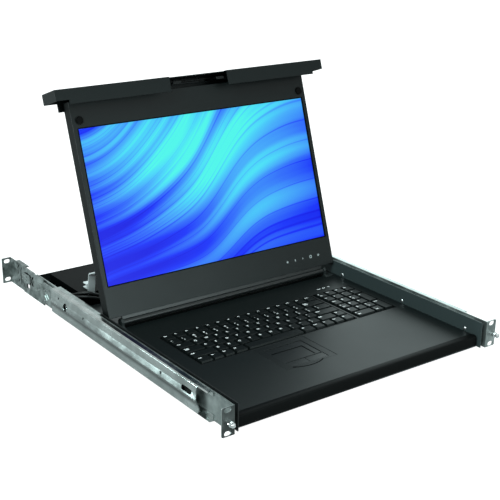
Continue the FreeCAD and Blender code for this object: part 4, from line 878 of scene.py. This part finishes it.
def ribbon(mesh, path, width, low, high, place=Matrix()):
    """A closed strip of one width along a flat path, with mitred corners."""
    points = [Vector(point) for point in path]
    steps = [(b - a).normalized() for a, b in zip(points, points[1:])]
    rows = []
    for i, point in enumerate(points):
        before, after = steps[max(i - 1, 0)], steps[min(i, len(steps) - 1)]
        along = (before + after).normalized()
        side = Vector((-along.y, along.x)) * (width / 2 / max(SHARPEST_MITRE, along.dot(before)))
        rows.append([mesh.verts.new(place @ Vector((*(point + side * sign), level)))
                     for sign, level in ((-1, low), (1, low), (1, high), (-1, high))])
    ring_faces(mesh, rows)


def frame_lines(mesh, corners, width, low, high, place):
    """Straight strips from corner to corner, and back to the first."""
    for a, b in zip(corners, corners[1:] + corners[:1]):
        ribbon(mesh, [a, b], width, low, high, place)


def flat(mesh, outline, low, high, place=Matrix()):
    """A closed plate with a flat outline."""
    bottom = [mesh.verts.new(place @ Vector((x, y, low))) for x, y in outline]
    top = [mesh.verts.new(place @ Vector((x, y, high))) for x, y in outline]
    mesh.faces.new(bottom[::-1])
    mesh.faces.new(top)
    for i in range(len(outline)):
        j = (i + 1) % len(outline)
        mesh.faces.new((bottom[i], bottom[j], top[j], top[i]))


def mesh_piece(name, mesh, body, slot, finish=None, smooth=False):
    """One finished piece from a mesh under construction."""
    bmesh.ops.recalc_face_normals(mesh, faces=mesh.faces)
    piece = new_piece(name, mesh)
    set_shading(piece, smooth)
    settle(piece, body, slot, finish)


def in_mm(points):
    """Points written in millimetres, as metres."""
    return [(x * MM, y * MM) for x, y in points]


print("drawing helpers ready")

# %% [markdown]
# ## The gap around the glass
# A thin dark gap parts the glass from its surround. At this size it could be left to a shadow, but
# a shadow inside so narrow a slot is lost in the noise of a render. Four dark strips hold it.

# %% Glass gap
SURROUND_FACE = lid_box("screen_surround")[1].y
GROOVE_HIGH, GROOVE_DEEP = 0.12 * MM, 0.1 * MM
GAP, PICTURE_WIDE, PICTURE_HIGH = 0.8 * MM, 409.8 * MM, 230.5 * MM

glass_low, glass_high = lid_box("display")
picture_middle = (glass_low.z + glass_high.z) / 2
wide = PICTURE_WIDE / 2 + GAP
low, high = picture_middle - PICTURE_HIGH / 2 - GAP, picture_middle + PICTURE_HIGH / 2 + GAP
gap_lines = bmesh.new()
frame_lines(gap_lines, [(-wide, low), (wide, low), (wide, high), (-wide, high)], 2 * GAP,
            SURROUND_FACE - GROOVE_DEEP, SURROUND_FACE + GROOVE_HIGH, FACE_MATRIX)
mesh_piece("glass_gap", gap_lines, "lid", "surround_black", PAINTED_SHADE)
print("glass", PICTURE_WIDE / MM, "by", PICTURE_HIGH / MM, "mm")

# %% [markdown]
# ## The signs of the menu buttons
# Five small signs stand at the lower right of the surround: a diamond, a bar, an arrow, a square and
# a power sign. They are simple enough to be drawn from their corners. The square and the power sign
# are lines, the other three are plates.

# %% Menu signs
SIGN_UP, FIRST_SIGN, SIGN_STEP, SIGN_HALF = 28.5 * MM, 119.8 * MM, 16.1 * MM, 2.1 * MM
SIGN_PLATES = (
    [(-1, 0), (0, -1), (1, 0), (0, 1)],
    [(-0.42, -0.8), (0.42, -0.8), (0.42, 0.8), (-0.42, 0.8)],
    [(-0.5, -0.8), (0.55, 0), (-0.5, 0.8)],
)
SQUARE_HALF = SIGN_HALF * 0.85
SQUARE_LINE = SQUARE_HALF * 0.62
POWER_RADIUS, POWER_LINE = SQUARE_HALF * 0.75, SQUARE_HALF * 0.55
POWER_START, POWER_TURN, POWER_STEPS = 130, 280, 12
STEM_HIGH, STEM_LINE = SQUARE_HALF * 1.15, SQUARE_HALF * 0.5


def sign_place(order):
    """The matrix of a sign, counted from the left."""
    return FACE_MATRIX @ Matrix.Translation((FIRST_SIGN + SIGN_STEP * order, SIGN_UP, 0))


signs = bmesh.new()
ink = (SURROUND_FACE, SURROUND_FACE + INK_THICK)
for order, outline in enumerate(SIGN_PLATES):
    flat(signs, [(x * SIGN_HALF, y * SIGN_HALF) for x, y in outline], *ink, sign_place(order))
square = [(x * SQUARE_HALF, y * SQUARE_HALF) for x, y in ((-1, -1), (1, -1), (1, 1), (-1, 1))]
frame_lines(signs, square, SQUARE_LINE, *ink, sign_place(len(SIGN_PLATES)))
power_place = sign_place(len(SIGN_PLATES) + 1)
turns = [math.radians(POWER_START + POWER_TURN * i / POWER_STEPS) for i in range(POWER_STEPS + 1)]
ribbon(signs, [(POWER_RADIUS * math.cos(t), POWER_RADIUS * math.sin(t)) for t in turns],
       POWER_LINE, *ink, power_place)
ribbon(signs, [(0, 0), (0, STEM_HIGH)], STEM_LINE, *ink, power_place)
mesh_piece("menu_signs", signs, "lid", "white_plastic", SIGN_INK)
print("signs", len(SIGN_PLATES) + 2)

# %% [markdown]
# ## Lock lamps and joint lines
# The names of the three lock lamps are printed on the deck above the number keys. Dark joint lines of
# painted shade part the number keys from the letters, and frame the touchpad: they stand for the shadow in
# the grooves there. Grooves cut into the solids would cost many small faces, so the lines are strips that
# stand hardly higher than a coat of paint.

# %% Lock lamp names
LAMP_NAMES = (("Num", 143.0), ("Cap", 153.6), ("Scr", 164.4))
LAMP_NAMES_DEPTH = 284.2 * MM
deck_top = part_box("deck")[1][2]
printed("lock_lamp_names", [
    (text_object(name, WORD), Matrix.Translation((x * MM, LAMP_NAMES_DEPTH, deck_top + INK_THICK / 2)))
    for name, x in LAMP_NAMES], "drawer")
print("lamp names", [name for name, x in LAMP_NAMES])

# %% Joint lines
NUMBER_BLOCK_SIDES = (116.3, 195.2)
KEYS_FRONT, KEYS_REAR = 158, 266
NUMBER_BLOCK_REAR = [(122, 267.2), (195, 267.2)]
PAD_EDGE = [(-67, 129), (-13.8, 129), (-13.8, 99.5)]
PAD_FRONT = [(-68.4, 80.3), (-62, 76.6), (-54, 73.9), (-46, 72.4), (-37, 72.3), (-28, 73.6), (-21, 75.9),
             (-16.5, 78.6)]
BLOCK_WIDTH, REAR_WIDTH, PAD_WIDTH, FRONT_WIDTH = 2.1 * MM, 1.2 * MM, 2.3 * MM, 2.0 * MM
PAD_FRONT_DEEP = 0.3 * MM

# painted shade: dark strips for the shadow in the joints
lines = bmesh.new()
base_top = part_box("keyboard_base")[1][2]
pad_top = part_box("touch_surface")[1][2]
for x in NUMBER_BLOCK_SIDES:
    ribbon(lines, in_mm([(x, KEYS_FRONT), (x, KEYS_REAR)]), BLOCK_WIDTH,
           base_top - GROOVE_HIGH, deck_top + GROOVE_HIGH)
ribbon(lines, in_mm(NUMBER_BLOCK_REAR), REAR_WIDTH, base_top, deck_top + GROOVE_HIGH)
ribbon(lines, in_mm(PAD_EDGE), PAD_WIDTH, pad_top - GROOVE_HIGH, pad_top + GROOVE_HIGH)
ribbon(lines, in_mm(PAD_FRONT), FRONT_WIDTH, deck_top - PAD_FRONT_DEEP, deck_top + GROOVE_HIGH)
mesh_piece("joint_line_shade", lines, "drawer", "rubber", PAINTED_SHADE)
print("joint lines", GROOVE_HIGH / MM, "mm above the surface")

# %% [markdown]
# ## Stampings of the rear brackets
# The tongue of a rear bracket carries pressed ribs, and marks of painted shade around its boss and beside
# its step. The brackets are flat plates of depth and height, so the ribs are drawn on their side plane, and
# one matrix lays the same drawing on the left and the right. Beyond the step of the tongue the plate lies
# one sheet deeper, and so do the marks there.

# %% Stampings
BRACKET_SHEET = 1.6 * MM
RIB_HIGH, RIB_WIDE, MARK_WIDE = 0.8 * MM, 1.9 * MM, 1.7 * MM
TONGUE_FACE, TONGUE_STEP = 228.2 * MM, 590
BOSS = (556.4, 6.6)
PRESSED_RIBS = [[(575, 7), (592, 7)], [(575, 0.6), (592, 0.6)],
                [(491, 10), (501, 9), (509, 5), (502, 0), (496, -6)],
                [(509, -3), (503, -9), (511, -13)], [(519, 12), (529, 12)], [(521, 3), (533, -2), (541, -3)]]
SHADE_MARKS = [[(BOSS[0] - 7, BOSS[1] + 8), (BOSS[0] + 6, BOSS[1] - 9)],
              [(BOSS[0] + 6, BOSS[1] + 8), (BOSS[0] - 6, BOSS[1] - 8)],
              [(597, 17), (600, 10), (599, -14)], [(606, 19), (612, 12), (610, 2)], [(606, -6), (611, -12)],
              [(566, 14), (578, 14)]]


def side_matrix(side, face):
    """Lays a flat drawing of depth and height on a plane at the left (-1) or the right (1)."""
    return Matrix(((0, 0, side, side * face), (1, 0, 0, 0), (0, 1, 0, 0), (0, 0, 0, 1)))


for name, side in (("left", -1), ("right", 1)):
    ribs, marks = bmesh.new(), bmesh.new()
    place = side_matrix(side, TONGUE_FACE)
    for path in PRESSED_RIBS:
        ribbon(ribs, in_mm(path), RIB_WIDE, -GROOVE_DEEP, RIB_HIGH, place)
    # painted shade: near-black strips for the shadow of the stampings
    for path in SHADE_MARKS:
        low, high = 0, RIB_HIGH + GROOVE_HIGH
        if path[0][0] > TONGUE_STEP:
            low, high = -BRACKET_SHEET, GROOVE_HIGH - BRACKET_SHEET
        ribbon(marks, in_mm(path), MARK_WIDE, low, high, place)
    mesh_piece(f"pressed_ribs_{name}", ribs, f"rear_bracket_{name}", "slide_steel")
    mesh_piece(f"painted_shade_marks_{name}", marks, f"rear_bracket_{name}", "black_steel", PAINTED_SHADE)
print("ribs", len(PRESSED_RIBS), "marks", len(SHADE_MARKS))

# %% [markdown]
# ## Faces of the clamp screws
# Each clamp screw sits in a ring of painted shade around its hole, its dished head carries painted shade
# with a bright middle, and its cross recess is a dark strip of painted shade. The solid screw is plain,
# because its small cuts would not change how it fits. Round plates of three sizes and two crossed strips,
# laid on the heads, give it its face.

# %% Screw faces
HEAD_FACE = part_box("clamp_screws")[1][0]
SCREW_DEPTH, SCREW_LEVELS = 430, (3.4, -8.4)
SHADE_RING_RADIUS, DISH_RADIUS, MIDDLE_RADIUS = 6.3, 4.35, 2.9
CROSS_REACH, CROSS_WIDE = 1.7, 0.9 * MM
DISH_DEEP = 0.5 * MM
SHADE_RING_LEVELS = (0.02 * MM, 0.2 * MM)
CIRCLE_SIDES = 24


def screw_circle(level, radius):
    """The outline of a round plate around a clamp screw."""
    turns = [2 * math.pi * i / CIRCLE_SIDES for i in range(CIRCLE_SIDES)]
    return in_mm([(SCREW_DEPTH + radius * math.cos(t), level + radius * math.sin(t)) for t in turns])


screws, heads = bmesh.new(), bmesh.new()
for side in (-1, 1):
    on_head = side_matrix(side, HEAD_FACE)
    for level in SCREW_LEVELS:
        # painted shade: a dark ring around the hole, a dark dish and a dark cross stand for the shadow in
        # them
        flat(screws, screw_circle(level, SHADE_RING_RADIUS), *SHADE_RING_LEVELS, side_matrix(side, TONGUE_FACE))
        flat(screws, screw_circle(level, DISH_RADIUS), -DISH_DEEP, GROOVE_HIGH, on_head)
        flat(heads, screw_circle(level, MIDDLE_RADIUS), -DISH_DEEP, 2 * GROOVE_HIGH, on_head)
        for along, up in ((CROSS_REACH, 0), (0, CROSS_REACH)):
            ends = [(SCREW_DEPTH - along, level - up), (SCREW_DEPTH + along, level + up)]
            ribbon(screws, in_mm(ends), CROSS_WIDE, -GROOVE_DEEP, 3 * GROOVE_HIGH, on_head)
mesh_piece("screw_recess_shade", screws, "rails", "black_steel", PAINTED_SHADE)
mesh_piece("screw_faces", heads, "rails", "bright_steel")
print("screws", 2 * len(SCREW_LEVELS))

# %% [markdown]
# ## Cables behind the lid
# Two black cables and a white flat cable run around the left corner of the control box. They are
# taken for short leads that the drawer holds, so they are fixed pieces, not cords that hang. Only
# the stretch that can be seen is drawn: each starts at the front of the box, and its other end
# stops where it is out of sight, or stands free. A round cable is a ring of vertices carried along
# its path. Each ring starts from the one before, so the tube doesn't twist. The flat cable bows in
# one plane, so it is a strip drawn on the side plane.

# %% Cables
TUBE_SIDES, TUBE_STEPS = 10, 6
THICK_CABLE = [(-150, 446, 1), (-158, 438, 3), (-172, 436, 9), (-186, 440, 14), (-198, 450, 12),
               (-204, 466, 6), (-205, 490, 1), (-205, 520, -2)]
THIN_CABLE = [(-138, 446, -3), (-150, 436, -2), (-170, 431, 4), (-190, 434, 10), (-203, 446, 9),
              (-209.5, 468, 2), (-210, 500, -4), (-210, 520, -6)]
FLAT_CABLE = [(445.5, 9), (443, 20), (441.5, 32), (440, 42), (437, 46.5), (433, 47)]
THICK_RADIUS, THIN_RADIUS, FLAT_THICK = 2.2 * MM, 2.0 * MM, 1.2 * MM
FLAT_SIDES = (173 * MM, 185 * MM)


def tube(mesh, path, radius):
    """A closed round cable through the points of a path, in mm."""
    knots = [Vector(p) * MM for p in path]
    knots = [knots[0] * 2 - knots[1]] + knots + [knots[-1] * 2 - knots[-2]]
    line = []
    for a, b, c, d in zip(knots, knots[1:], knots[2:], knots[3:]):
        for t in [i / TUBE_STEPS for i in range(TUBE_STEPS)]:
            line.append(0.5 * (2 * b + (c - a) * t + (2 * a - 5 * b + 4 * c - d) * t * t
                               + (3 * b - a - 3 * c + d) * t ** 3))
    line.append(knots[-2])
    normal = Vector((0, 0, 1))
    rows = []
    for i, point in enumerate(line):
        along = (line[min(i + 1, len(line) - 1)] - line[max(i - 1, 0)]).normalized()
        normal = (normal - along * normal.dot(along)).normalized()
        across = along.cross(normal)
        turns = [2 * math.pi * k / TUBE_SIDES for k in range(TUBE_SIDES)]
        rows.append([mesh.verts.new(point + (normal * math.cos(t) + across * math.sin(t)) * radius)
                     for t in turns])
    ring_faces(mesh, rows)


cables = bmesh.new()
tube(cables, THICK_CABLE, THICK_RADIUS)
tube(cables, THIN_CABLE, THIN_RADIUS)
mesh_piece("box_cables", cables, "drawer", "rubber", smooth=True)
strap = bmesh.new()
ribbon(strap, in_mm(FLAT_CABLE), FLAT_THICK, *FLAT_SIDES, side_matrix(-1, 0))
mesh_piece("flat_cable", strap, "drawer", "white_plastic")
print("cable points", len(THICK_CABLE), len(THIN_CABLE), len(FLAT_CABLE))

# %% [markdown]
# ## The dark strip under the hinge barrel
# Light from behind would shine through the narrow gap between the hinge barrel and the deck. A near-black
# strip closes it and paints the hinge line as shade. It is straight, so the helper for strips makes it in
# one call.

# %% Hinge seal
SEAL_REACH, SEAL_DEPTH, SEAL_WIDE, SEAL_HIGH = 188, 327, 4 * MM, 3.1 * MM
seal = bmesh.new()
ribbon(seal, in_mm([(-SEAL_REACH, SEAL_DEPTH), (SEAL_REACH, SEAL_DEPTH)]), SEAL_WIDE,
       deck_top - GROOVE_DEEP, deck_top + SEAL_HIGH)
mesh_piece("hinge_seal_shade", seal, "drawer", "rubber", PAINTED_SHADE)
print("seal", 2 * SEAL_REACH, "mm long")
